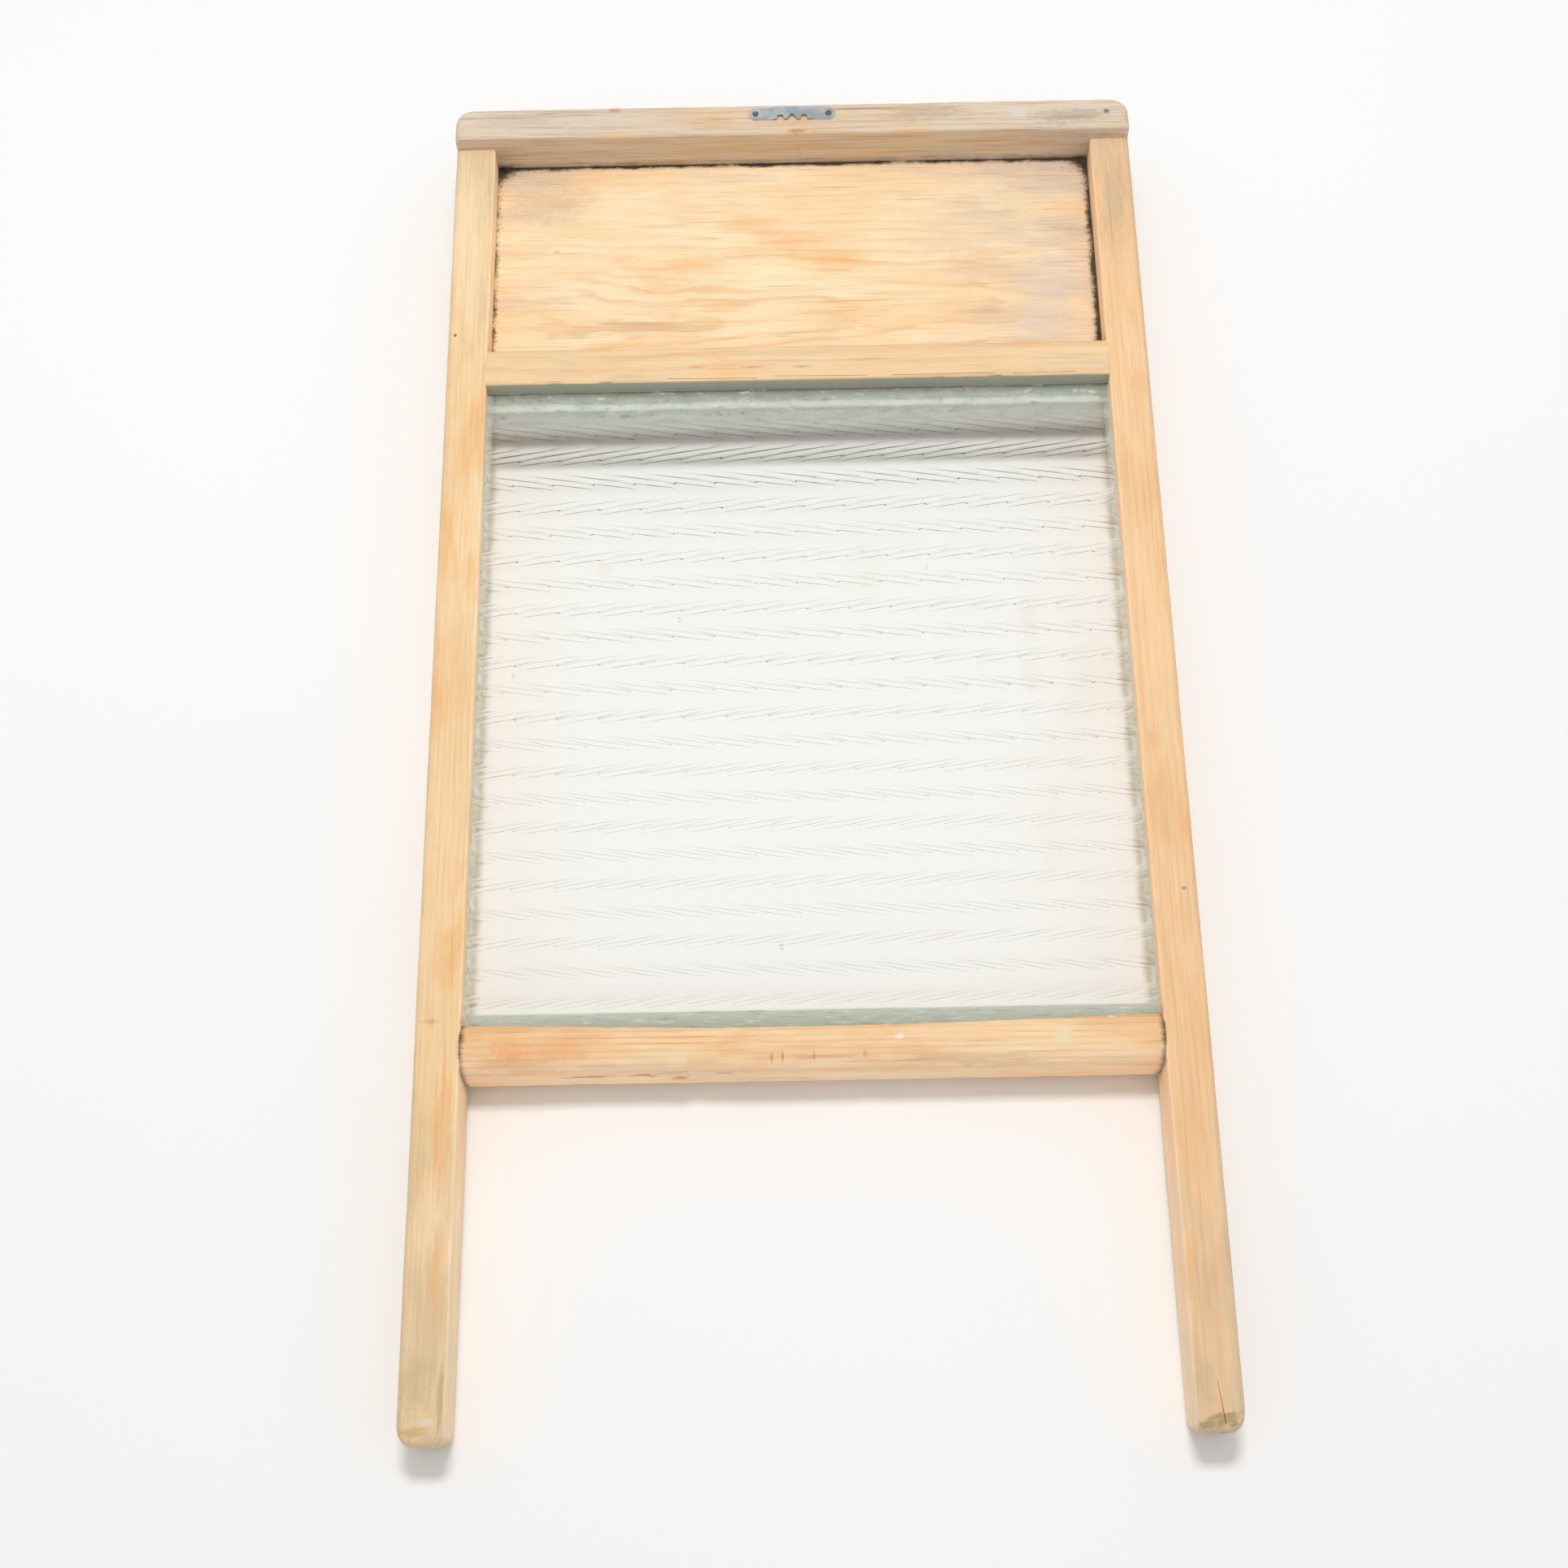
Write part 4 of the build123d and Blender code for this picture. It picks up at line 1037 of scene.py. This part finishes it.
# ---------------------------------------------------------------- pressed glass plate
def build_pressed_plate():
    """A closed glass plate with ribs across it, each pressed with slanted strokes.

    Its columns lean with the strokes, so that every stroke lies along an edge of the mesh.
    """
    sizes = [
        ("Half Width", FLOAT, 0.15), ("Low", FLOAT, -0.15), ("High", FLOAT, 0.15), ("Middle Z", FLOAT, 0.02),
        ("Half Web", FLOAT, 0.0025), ("Rib Rise", FLOAT, 0.0008), ("Rib Reach", FLOAT, 0.0062),
        ("Rib Pitch", FLOAT, 0.0127), ("First Rib", FLOAT, -0.13), ("Last Rib Number", FLOAT, 21.0),
        ("Stroke Spacing", FLOAT, 0.0178), ("Stroke Lean", FLOAT, 6.2), ("Stroke Reach", FLOAT, 0.0030),
        ("Stroke Depth", FLOAT, 0.00050), ("Stroke Edge", FLOAT, 0.055), ("Tongue Half Width", FLOAT, 0.13),
        ("Material", "NodeSocketMaterial", None),
    ]
    w, given, out = new_group("pressed_plate", sizes, [("Geometry", "NodeSocketGeometry")], kind="GeometryNodeTree")
    g = given.outputs
    periods, across, pitches, along = 19, 12, 25, 8
    cube = w.add("GeometryNodeMeshCube")
    cube.inputs["Size"].default_value = (1.0, 1.0, 1.0)
    for socket, count in zip(("Vertices X", "Vertices Y", "Vertices Z"), (periods * across + 1, pitches * along + 1, 2)):
        cube.inputs[socket].default_value = count
    parts = w.add("ShaderNodeSeparateXYZ")
    w.join(w.add("GeometryNodeInputPosition").outputs[0], parts.inputs[0])
    px, py, pz = parts.outputs
    turn = 2 * math.pi
    # across: the stroke count, crowded at each stroke's edge
    n = w.math("MULTIPLY", px, float(periods + 1))
    crowd = w.math("MULTIPLY", w.math("SINE", w.math("MULTIPLY", n, turn)), -0.80 / turn)
    q = w.math("ADD", n, crowd)
    t = w.math("SUBTRACT", q, w.math("ROUND", q))
    # along: the rib count, crowded at each rib
    v = w.math("MULTIPLY_ADD", w.math("ADD", py, 0.5), float(pitches), -2.0)
    v = w.math("ADD", v, w.math("MULTIPLY", w.math("SINE", w.math("MULTIPLY", v, turn)), -0.45 / turn))
    row = w.math("ROUND", v)
    dy = w.math("MULTIPLY", w.math("SUBTRACT", v, row), g["Rib Pitch"])
    y = w.math("MULTIPLY_ADD", v, g["Rib Pitch"], g["First Rib"])
    y = w.math("MINIMUM", w.math("MAXIMUM", y, g["Low"]), g["High"])
    odd = w.math("ABSOLUTE", w.math("MODULO", row, 2.0))
    lean_way = w.math("MULTIPLY_ADD", odd, -2.0, 1.0)
    held = w.math("MAXIMUM", w.math("MINIMUM", dy, g["Stroke Reach"]), w.math("MULTIPLY", g["Stroke Reach"], -1.0))
    lean = w.math("MULTIPLY", w.math("MULTIPLY", held, g["Stroke Lean"]), lean_way)
    x = w.math("MULTIPLY_ADD", q, g["Stroke Spacing"], lean)
    x = w.math("MINIMUM", w.math("MAXIMUM", x, w.math("MULTIPLY", g["Half Width"], -1.0)), g["Half Width"])
    # where there are ribs
    in_rows = w.math(
        "MULTIPLY", w.math("GREATER_THAN", row, -0.5),
        w.math("LESS_THAN", row, w.math("ADD", g["Last Rib Number"], 0.5)),
    )
    # rib height
    reach = w.math("MINIMUM", w.math("DIVIDE", w.math("ABSOLUTE", dy), g["Rib Reach"]), 1.0)
    bow = w.math("POWER", w.math("COSINE", w.math("MULTIPLY", reach, math.pi / 2)), 2.0)
    rib = w.math("MULTIPLY", bow, g["Rib Rise"])
    # stroke height: a long rise and a quick fall
    fall = w.math("TANH", w.math("DIVIDE", t, g["Stroke Edge"]))
    saw = w.math("MULTIPLY", w.math("MULTIPLY_ADD", fall, -0.5, t), lean_way)
    near = w.math("MINIMUM", w.math("DIVIDE", w.math("ABSOLUTE", dy), g["Stroke Reach"]), 1.0)
    window = w.math("SUBTRACT", 1.0, w.math("POWER", near, 2.2))
    face = w.span(pz, -0.5, 0.5, 0.35, 1.0)
    stroke = w.math("MULTIPLY", w.math("MULTIPLY", saw, window), w.math("MULTIPLY", g["Stroke Depth"], face))
    rise = w.math("MULTIPLY", w.math("ADD", rib, stroke), in_rows)
    height = w.math("ADD", g["Half Web"], rise)
    way = w.math("SIGN", pz)
    z = w.math("MULTIPLY_ADD", height, way, g["Middle Z"])
    spot = w.add("ShaderNodeCombineXYZ")
    for socket, value in zip(spot.inputs, (x, y, z)):
        w.join(value, socket)
    # the fine line along each stroke's edge, kept for the material, which darkens it as painted shade
    line = w.math("POWER", w.math("DIVIDE", t, w.math("MULTIPLY", g["Stroke Edge"], 1.1)), 2.0)
    line = w.math("EXPONENT", w.math("MULTIPLY", line, -1.0))
    painted_stroke_shade = w.math("MULTIPLY", w.math("MULTIPLY", line, window), in_rows)
    store = w.add("GeometryNodeStoreNamedAttribute", data_type="FLOAT", domain="POINT")
    store.inputs["Name"].default_value = "painted_stroke_shade"
    w.join(cube.outputs["Mesh"], store.inputs["Geometry"])
    w.join(painted_stroke_shade, store.inputs["Value"])
    move = w.add("GeometryNodeSetPosition")
    w.join(store.outputs[0], move.inputs["Geometry"])
    w.join(spot.outputs[0], move.inputs["Position"])
    weld = w.add("GeometryNodeMergeByDistance")
    w.join(move.outputs[0], weld.inputs["Geometry"])
    weld.inputs["Distance"].default_value = 0.00002
    # plain tongues along both sides, which sit in the stiles' grooves
    both = w.add("GeometryNodeJoinGeometry")
    w.join(weld.outputs[0], both.inputs[0])
    inner = w.math("SUBTRACT", g["Half Width"], 0.0004)
    for way_out in (-1.0, 1.0):
        tongue = w.add("GeometryNodeMeshCube")
        size = w.add("ShaderNodeCombineXYZ")
        w.join(w.math("SUBTRACT", g["Tongue Half Width"], inner), size.inputs[0])
        w.join(w.math("SUBTRACT", w.math("SUBTRACT", g["High"], g["Low"]), 0.0002), size.inputs[1])
        w.join(w.math("MULTIPLY", g["Half Web"], 1.98), size.inputs[2])
        w.join(size.outputs[0], tongue.inputs["Size"])
        centre = w.add("ShaderNodeCombineXYZ")
        half_sum = w.math("MULTIPLY", w.math("ADD", g["Tongue Half Width"], inner), 0.5 * way_out)
        w.join(half_sum, centre.inputs[0])
        w.join(w.math("MULTIPLY", w.math("ADD", g["High"], g["Low"]), 0.5), centre.inputs[1])
        w.join(g["Middle Z"], centre.inputs[2])
        shift = w.add("GeometryNodeTransform")
        w.join(tongue.outputs["Mesh"], shift.inputs["Geometry"])
        w.join(centre.outputs[0], shift.inputs["Translation"])
        w.join(shift.outputs[0], both.inputs[0])
    real = w.add("GeometryNodeRealizeInstances")
    w.join(both.outputs[0], real.inputs[0])
    paint = w.add("GeometryNodeSetMaterial")
    w.join(real.outputs[0], paint.inputs["Geometry"])
    w.join(g["Material"], paint.inputs["Material"])
    w.join(paint.outputs[0], out.inputs["Geometry"])
    return w.tree


def run_geometry(name, tree, base=None, **values):
    """Makes a plain mesh object from a geometry tree, with its named inputs set."""
    obj = base
    if obj is None:
        obj = bpy.data.objects.new(name, bpy.data.meshes.new(name))
        bpy.context.scene.collection.objects.link(obj)
    modifier = obj.modifiers.new("make", "NODES")
    modifier.node_group = tree
    sockets = {item.name: item.identifier for item in tree.interface.items_tree if item.in_out == "INPUT"}
    for label, value in values.items():
        modifier[sockets[label.replace("_", " ")]] = value
    settle(obj)
    return obj


GLASS_Z = (glass_lo.z + glass_hi.z) / 2
RIB_PITCH = 0.0127
FIRST_RIB = low_hi.y + 0.0098
plate = run_geometry(
    "ribbed_glass_plate", build_pressed_plate(), Half_Width=HALF_OPENING - 0.0001, Low=glass_lo.y,
    High=glass_hi.y, Middle_Z=GLASS_Z, First_Rib=FIRST_RIB, Rib_Pitch=RIB_PITCH, Tongue_Half_Width=glass_hi.x,
    Material=glass_material,
)
finish_piece(plate, glass_material, "glass", "glass_plate", angle=None)


# ---------------------------------------------------------------- lint in the seams
def build_lint():
    """Short curved fibres, one on each given point, turned and sized at random from a fixed seed."""
    w, given, out = new_group(
        "seam_lint",
        [
            ("Geometry", "NodeSocketGeometry", None), ("Fibre Length", FLOAT, 0.0024), ("Fibre Radius", FLOAT, 0.00004),
            ("Lie", FLOAT, 0.5), ("Seed", "NodeSocketInt", 4), ("Material", "NodeSocketMaterial", None),
        ],
        [("Geometry", "NodeSocketGeometry")], kind="GeometryNodeTree",
    )
    g = given.outputs
    arc = w.add("GeometryNodeCurvePrimitiveBezierSegment")
    arc.inputs["Resolution"].default_value = 4
    half = w.math("MULTIPLY", g["Fibre Length"], 0.5)
    for name, x_share, y_share in (("Start", -1.0, 0.0), ("Start Handle", -0.4, 0.55), ("End Handle", 0.4, 0.5), ("End", 1.0, -0.1)):
        point = w.add("ShaderNodeCombineXYZ")
        w.join(w.math("MULTIPLY", half, x_share), point.inputs[0])
        w.join(w.math("MULTIPLY", half, y_share), point.inputs[1])
        w.join(point.outputs[0], arc.inputs[name])
    ring = w.add("GeometryNodeCurvePrimitiveCircle")
    ring.inputs["Resolution"].default_value = 3
    w.join(g["Fibre Radius"], ring.inputs["Radius"])
    tube = w.add("GeometryNodeCurveToMesh")
    w.join(arc.outputs[0], tube.inputs["Curve"])
    w.join(ring.outputs[0], tube.inputs["Profile Curve"])
    tube.inputs["Fill Caps"].default_value = True
    turn = w.add("FunctionNodeRandomValue", data_type="FLOAT_VECTOR")
    low = w.add("ShaderNodeCombineXYZ")
    high = w.add("ShaderNodeCombineXYZ")
    for i in (0, 1):
        w.join(w.math("MULTIPLY", g["Lie"], -1.0), low.inputs[i])
        w.join(g["Lie"], high.inputs[i])
    high.inputs[2].default_value = 2 * math.pi
    w.join(low.outputs[0], turn.inputs[0])
    w.join(high.outputs[0], turn.inputs[1])
    size = w.add("FunctionNodeRandomValue", data_type="FLOAT")
    size.inputs[2].default_value = 0.35
    size.inputs[3].default_value = 1.25
    w.join(g["Seed"], turn.inputs["Seed"])
    w.join(w.math("ADD", g["Seed"], 7.0), size.inputs["Seed"])
    scatter = w.add("GeometryNodeInstanceOnPoints")
    w.join(g["Geometry"], scatter.inputs["Points"])
    w.join(tube.outputs[0], scatter.inputs["Instance"])
    w.join(turn.outputs[0], scatter.inputs["Rotation"])
    w.join(size.outputs[1], scatter.inputs["Scale"])
    real = w.add("GeometryNodeRealizeInstances")
    w.join(scatter.outputs[0], real.inputs[0])
    paint = w.add("GeometryNodeSetMaterial")
    w.join(real.outputs[0], paint.inputs["Geometry"])
    w.join(g["Material"], paint.inputs["Material"])
    w.join(paint.outputs[0], out.inputs["Geometry"])
    return w.tree


def make_lint_material():
    """Grey-brown house dust."""
    material, w, shader = new_material("house_dust")
    coords = w.add("ShaderNodeTexCoord").outputs["Object"]
    tone = w.span(w.noise(coords, 260.0, 3.0), 0.35, 0.65)
    w.join(w.mix(tone, srgb(64, 56, 48), srgb(120, 108, 92)), shader.inputs["Base Color"])
    w.join(w.math("MULTIPLY_ADD", tone, 0.1, 0.85), shader.inputs["Roughness"])
    shader.inputs["Specular IOR Level"].default_value = 0.1
    return material


def lint_points():
    """Points along the board's seams, many in the corners, thinning away from each seam."""
    chance = random.Random(17)
    top_y, left_x, right_x = SHOULDER, -HALF_OPENING, HALF_OPENING
    points = []

    def drop(x, y, lift):
        if left_x + 0.0006 < x < right_x - 0.0006 and mid_hi.y - 0.001 < y < top_y - 0.0004:
            points.append((x, y, board_hi.z + 0.0002 + lift * chance.random()))

    for _ in range(620):
        drop(chance.uniform(left_x, right_x), top_y - 0.0004 - abs(chance.gauss(0, 0.0008)), 0.0007)
    for _ in range(320):
        drop(left_x + abs(chance.gauss(0, 0.0045)), top_y - abs(chance.gauss(0, 0.0028)), 0.0014)
        drop(right_x - abs(chance.gauss(0, 0.0040)), top_y - abs(chance.gauss(0, 0.0036)), 0.0014)
    for _ in range(420):
        drop(right_x - 0.0006 - abs(chance.gauss(0, 0.0011)), chance.uniform(mid_hi.y, top_y), 0.0009)
    for _ in range(160):
        drop(left_x + 0.0006 + abs(chance.gauss(0, 0.0006)), chance.uniform(mid_hi.y, top_y), 0.0006)
    for _ in range(60):
        drop(right_x - abs(chance.gauss(0, 0.0030)), mid_hi.y + abs(chance.gauss(0, 0.0020)), 0.0008)
    return points


lint = bpy.data.objects.new("seam_lint", bpy.data.meshes.new("seam_lint"))
lint.data.from_pydata(lint_points(), [], [])
bpy.context.scene.collection.objects.link(lint)
lint = run_geometry("seam_lint", build_lint(), base=lint, Material=make_lint_material())
lint.data.polygons.foreach_set("use_smooth", [True] * len(lint.data.polygons))
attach(lint, "root")


# ---------------------------------------------------------------- lime and soap left on the glass, with painted shade and painted light
def make_deposit_material(name, edge, way, bands, ends, ragged=2.6, streak=(260.0, 520.0, 1.0), across=False):
    """A chalky film that thins out away from a rail, or from the stiles. bands are (distance in mm, colour, cover);
    under the middle rail and by the stiles they also hold painted shade and painted light.
    """
    material, w, shader = new_material(name)
    coords = w.add("ShaderNodeTexCoord").outputs["Object"]
    x, y, z = separated(w, coords)
    wave = w.noise(w.stretch(coords, (30.0, 90.0, 1.0)), 1.0, 4.0, 0.6)
    place = w.math("ABSOLUTE", x) if across else y
    away = w.math("MULTIPLY", w.math("SUBTRACT", place, edge), way / MM)
    away = w.math("MULTIPLY_ADD", w.math("SUBTRACT", wave, 0.5), ragged, away)
    colour, cover = bands[0][1], bands[0][2]
    for (near, _, _), (far, tint, amount) in zip(bands, bands[1:]):
        step = w.span(away, near, far)
        colour = w.mix(step, colour, tint)
        cover = w.math("ADD", w.math("MULTIPLY", cover, w.math("SUBTRACT", 1.0, step)), w.math("MULTIPLY", step, amount))
    speck = w.noise(w.stretch(coords, streak), 1.0, 5.0, 0.7)
    colour = w.mix(w.math("MULTIPLY", w.span(speck, 0.56, 0.65), 0.80), colour, srgb(226, 230, 222))
    colour = w.mix(w.math("MULTIPLY", w.span(speck, 0.46, 0.30), 0.55), colour, srgb(124, 128, 112))
    mottle = w.span(w.noise(w.stretch(coords, (70.0, 240.0, 1.0)), 1.0, 5.0, 0.65), 0.3, 0.7, 0.72, 1.0)
    side = w.span(w.math("SUBTRACT", HALF_OPENING, w.math("ABSOLUTE", x)), 0.0, 0.012, ends, 1.0)
    w.join(colour, shader.inputs["Base Color"])
    w.join(w.math("MULTIPLY", w.math("MULTIPLY", cover, mottle), side, clamp=True), shader.inputs["Alpha"])
    w.join(w.math("MULTIPLY_ADD", speck, 0.2, 0.7), shader.inputs["Roughness"])
    bump = w.add("ShaderNodeBump")
    bump.inputs["Strength"].default_value = 0.3
    bump.inputs["Distance"].default_value = 0.0003
    w.join(speck, bump.inputs["Height"])
    w.join(bump.outputs[0], shader.inputs["Normal"])
    return material


def rib_swell(y):
    """How far the ribs lift a film that lies over the glass."""
    row = round((y - FIRST_RIB) / RIB_PITCH)
    if not 0 <= row <= 21:
        return 0.0
    reach = min(abs(y - FIRST_RIB - row * RIB_PITCH) / 0.0062, 1.0)
    return (0.0008 + 0.00022) * math.cos(reach * math.pi / 2) ** 2


def make_film(name, low_y, high_y, material, side=0.0, thick=0.00006):
    """A thin closed film lying on the glass's border, over its whole width or by one stile."""
    bm = bmesh.new()
    x_low, x_high, nx, ny = -HALF_OPENING + 0.0003, HALF_OPENING - 0.0003, 90, 24
    if side:
        x_low, x_high = sorted((side * (HALF_OPENING + 0.0001), side * (HALF_OPENING - 0.0034)))
        nx, ny = 6, 180
    base = GLASS_Z + 0.0025 + 0.00004
    grid = {}
    for k, up in ((0, 0.0), (1, thick)):
        for i in range(nx + 1):
            for j in range(ny + 1):
                px = x_low + (x_high - x_low) * i / nx
                py = low_y + (high_y - low_y) * j / ny
                rise = up * (1 + 0.6 * noise.noise(Vector((px * 90, py * 90, 3.3)))) + rib_swell(py)
                grid[k, i, j] = bm.verts.new((px, py, base + rise))
    for i in range(nx):
        for j in range(ny):
            bm.faces.new([grid[1, i, j], grid[1, i + 1, j], grid[1, i + 1, j + 1], grid[1, i, j + 1]])
            bm.faces.new([grid[0, i, j + 1], grid[0, i + 1, j + 1], grid[0, i + 1, j], grid[0, i, j]])
    rim = [(i, 0) for i in range(nx)] + [(nx, j) for j in range(ny)]
    rim += [(i, ny) for i in range(nx, 0, -1)] + [(0, j) for j in range(ny, 0, -1)]
    for (i, j), (i2, j2) in zip(rim, rim[1:] + rim[:1]):
        bm.faces.new([grid[0, i, j], grid[0, i2, j2], grid[1, i2, j2], grid[1, i, j]])
    mesh = bpy.data.meshes.new(name)
    bm.to_mesh(mesh)
    bm.free()
    mesh.materials.append(material)
    obj = bpy.data.objects.new(name, mesh)
    bpy.context.scene.collection.objects.link(obj)
    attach(obj, "root")


# Painted shade and painted light: the bands copy the light under the middle rail, dark next to the rail for its shaded
# underside, darker again near 10 mm for the shadow of the rail's front edge, and pale further out to lighten the rail's
# shadow seen through the glass. The specks and mottle are the lime's own.
make_film(
    "lime_and_painted_shading_under_middle_rail", mid_lo.y - 0.0270, mid_lo.y + 0.0003,
    make_deposit_material(
        "lime_and_painted_shading_at_middle_rail", mid_lo.y, -1.0,
        [(0.0, srgb(146, 153, 143), 0.95), (5.4, srgb(190, 196, 185), 0.93), (7.4, srgb(226, 230, 220), 0.88),
         (8.6, srgb(226, 230, 220), 0.84), (10.4, srgb(198, 203, 192), 0.62), (13.0, srgb(218, 222, 214), 0.48),
         (17.0, srgb(238, 240, 235), 0.22), (26.0, srgb(240, 242, 236), 0.0)],
        0.75, ragged=1.6, streak=(150.0, 330.0, 1.0),
    ),
)
make_film(
    "lime_over_bottom_rail", low_hi.y - 0.0052, low_hi.y + 0.0054,
    make_deposit_material(
        "lime_at_bottom_rail", low_hi.y, 1.0,
        [(-5.0, srgb(176, 184, 170), 0.94), (-1.0, srgb(188, 196, 182), 0.92), (3.9, srgb(200, 207, 194), 0.86),
         (5.0, srgb(226, 230, 222), 0.0)],
        0.92, ragged=0.5, streak=(110.0, 800.0, 1.0),
    ),
)


# Painted light: the film by the stiles is lime crust, laid on pale and thick to lighten the shaded seam between the
# glass and the stiles.
side_lime_and_painted_light = make_deposit_material(
    "lime_and_painted_light_at_stiles", HALF_OPENING, -1.0,
    [(0.0, srgb(226, 230, 218), 0.80), (0.8, srgb(234, 237, 228), 0.55), (1.9, srgb(240, 242, 236), 0.25),
     (3.1, srgb(244, 246, 241), 0.0)],
    0.8, ragged=1.6, streak=(420.0, 260.0, 1.0), across=True,
)
for side, way in (("left", -1.0), ("right", 1.0)):
    make_film(f"lime_and_painted_light_by_{side}_stile", low_hi.y + 0.0002, mid_lo.y - 0.0002, side_lime_and_painted_light, side=way)


# ---------------------------------------------------------------- pieces kept from the CAD
def dress(node, material):
    """Gives a CAD node its material."""
    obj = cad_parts[node]
    if not obj.data.materials:
        obj.data.materials.append(material)
    for i in range(len(obj.data.materials)):
        obj.material_slots[i].material = material


dress("back_board", board_material)
dress("sawtooth_hanger", zinc_material)
for side in ("left", "right"):
    for nail in ("head_rail_nail", "middle_rail_nail", "bottom_rail_nail", "hanger_brad"):
        dress(f"{side}_{nail}", steel_material)


# ---------------------------------------------------------------- table, light and camera
def make_table():
    """A white table under the board. It tips a little, because the head rail is thicker than the legs."""
    slope = (FRONT - head_lo.z) / (SHOULDER - FOOT)
    bm = bmesh.new()
    corners = []
    for x, y in ((-3, -3), (3, -3), (3, 3), (-3, 3)):
        corners.append(bm.verts.new((x, y, head_lo.z + (SHOULDER - y) * slope - 0.0002)))
    bm.faces.new(corners)
    mesh = bpy.data.meshes.new("table")
    bm.to_mesh(mesh)
    bm.free()
    table = bpy.data.objects.new("table", mesh)
    bpy.context.scene.collection.objects.link(table)
    material, w, shader = new_material("white_table")
    coords = w.add("ShaderNodeTexCoord").outputs["Object"]
    tone = w.span(w.noise(coords, 1.6, 2.0), 0.3, 0.7)
    w.join(w.mix(tone, (0.94, 0.94, 0.937, 1.0), (0.955, 0.955, 0.953, 1.0)), shader.inputs["Base Color"])
    shader.inputs["Roughness"].default_value = 0.75
    shader.inputs["Specular IOR Level"].default_value = 0.2
    mesh.materials.append(material)


def make_lights():
    """A soft lamp overhead, toward the head side, and even white surroundings. Gloss mirrors only the surroundings."""
    data = bpy.data.lights.new("soft_lamp", "AREA")
    data.shape = "RECTANGLE"
    data.size = 0.42
    data.size_y = 0.34
    data.energy = 18.6
    data.color = (1.0, 0.997, 0.99)
    lamp = bpy.data.objects.new("soft_lamp", data)
    lamp.location = (-0.02, 0.40, 2.05)
    lamp.visible_glossy = False
    lamp.visible_transmission = False
    bpy.context.scene.collection.objects.link(lamp)
    world = bpy.data.worlds.new("studio")
    world.use_nodes = True
    background = world.node_tree.nodes["Background"]
    background.inputs["Color"].default_value = (1.0, 1.0, 0.995, 1.0)
    background.inputs["Strength"].default_value = 0.61
    bpy.context.scene.world = world


def make_camera():
    """Looks down at the back of the board from above the feet."""
    data = bpy.data.cameras.new("camera")
    data.sensor_fit = "HORIZONTAL"
    data.sensor_width = 36.0
    data.lens = 54.93
    data.clip_start = 0.05
    data.clip_end = 20.0
    camera = bpy.data.objects.new("camera", data)
    turn = (
        Matrix.Rotation(math.radians(0.16), 4, "Z")
        @ Matrix.Rotation(math.radians(23.87), 4, "X")
        @ Matrix.Rotation(math.radians(-1.2), 4, "Z")
    )
    camera.matrix_world = Matrix.Translation((-0.0082, -0.4390, 0.9370)) @ turn
    bpy.context.scene.collection.objects.link(camera)
    bpy.context.scene.camera = camera


make_table()
make_lights()
make_camera()
bpy.context.scene.view_settings.view_transform = "Standard"
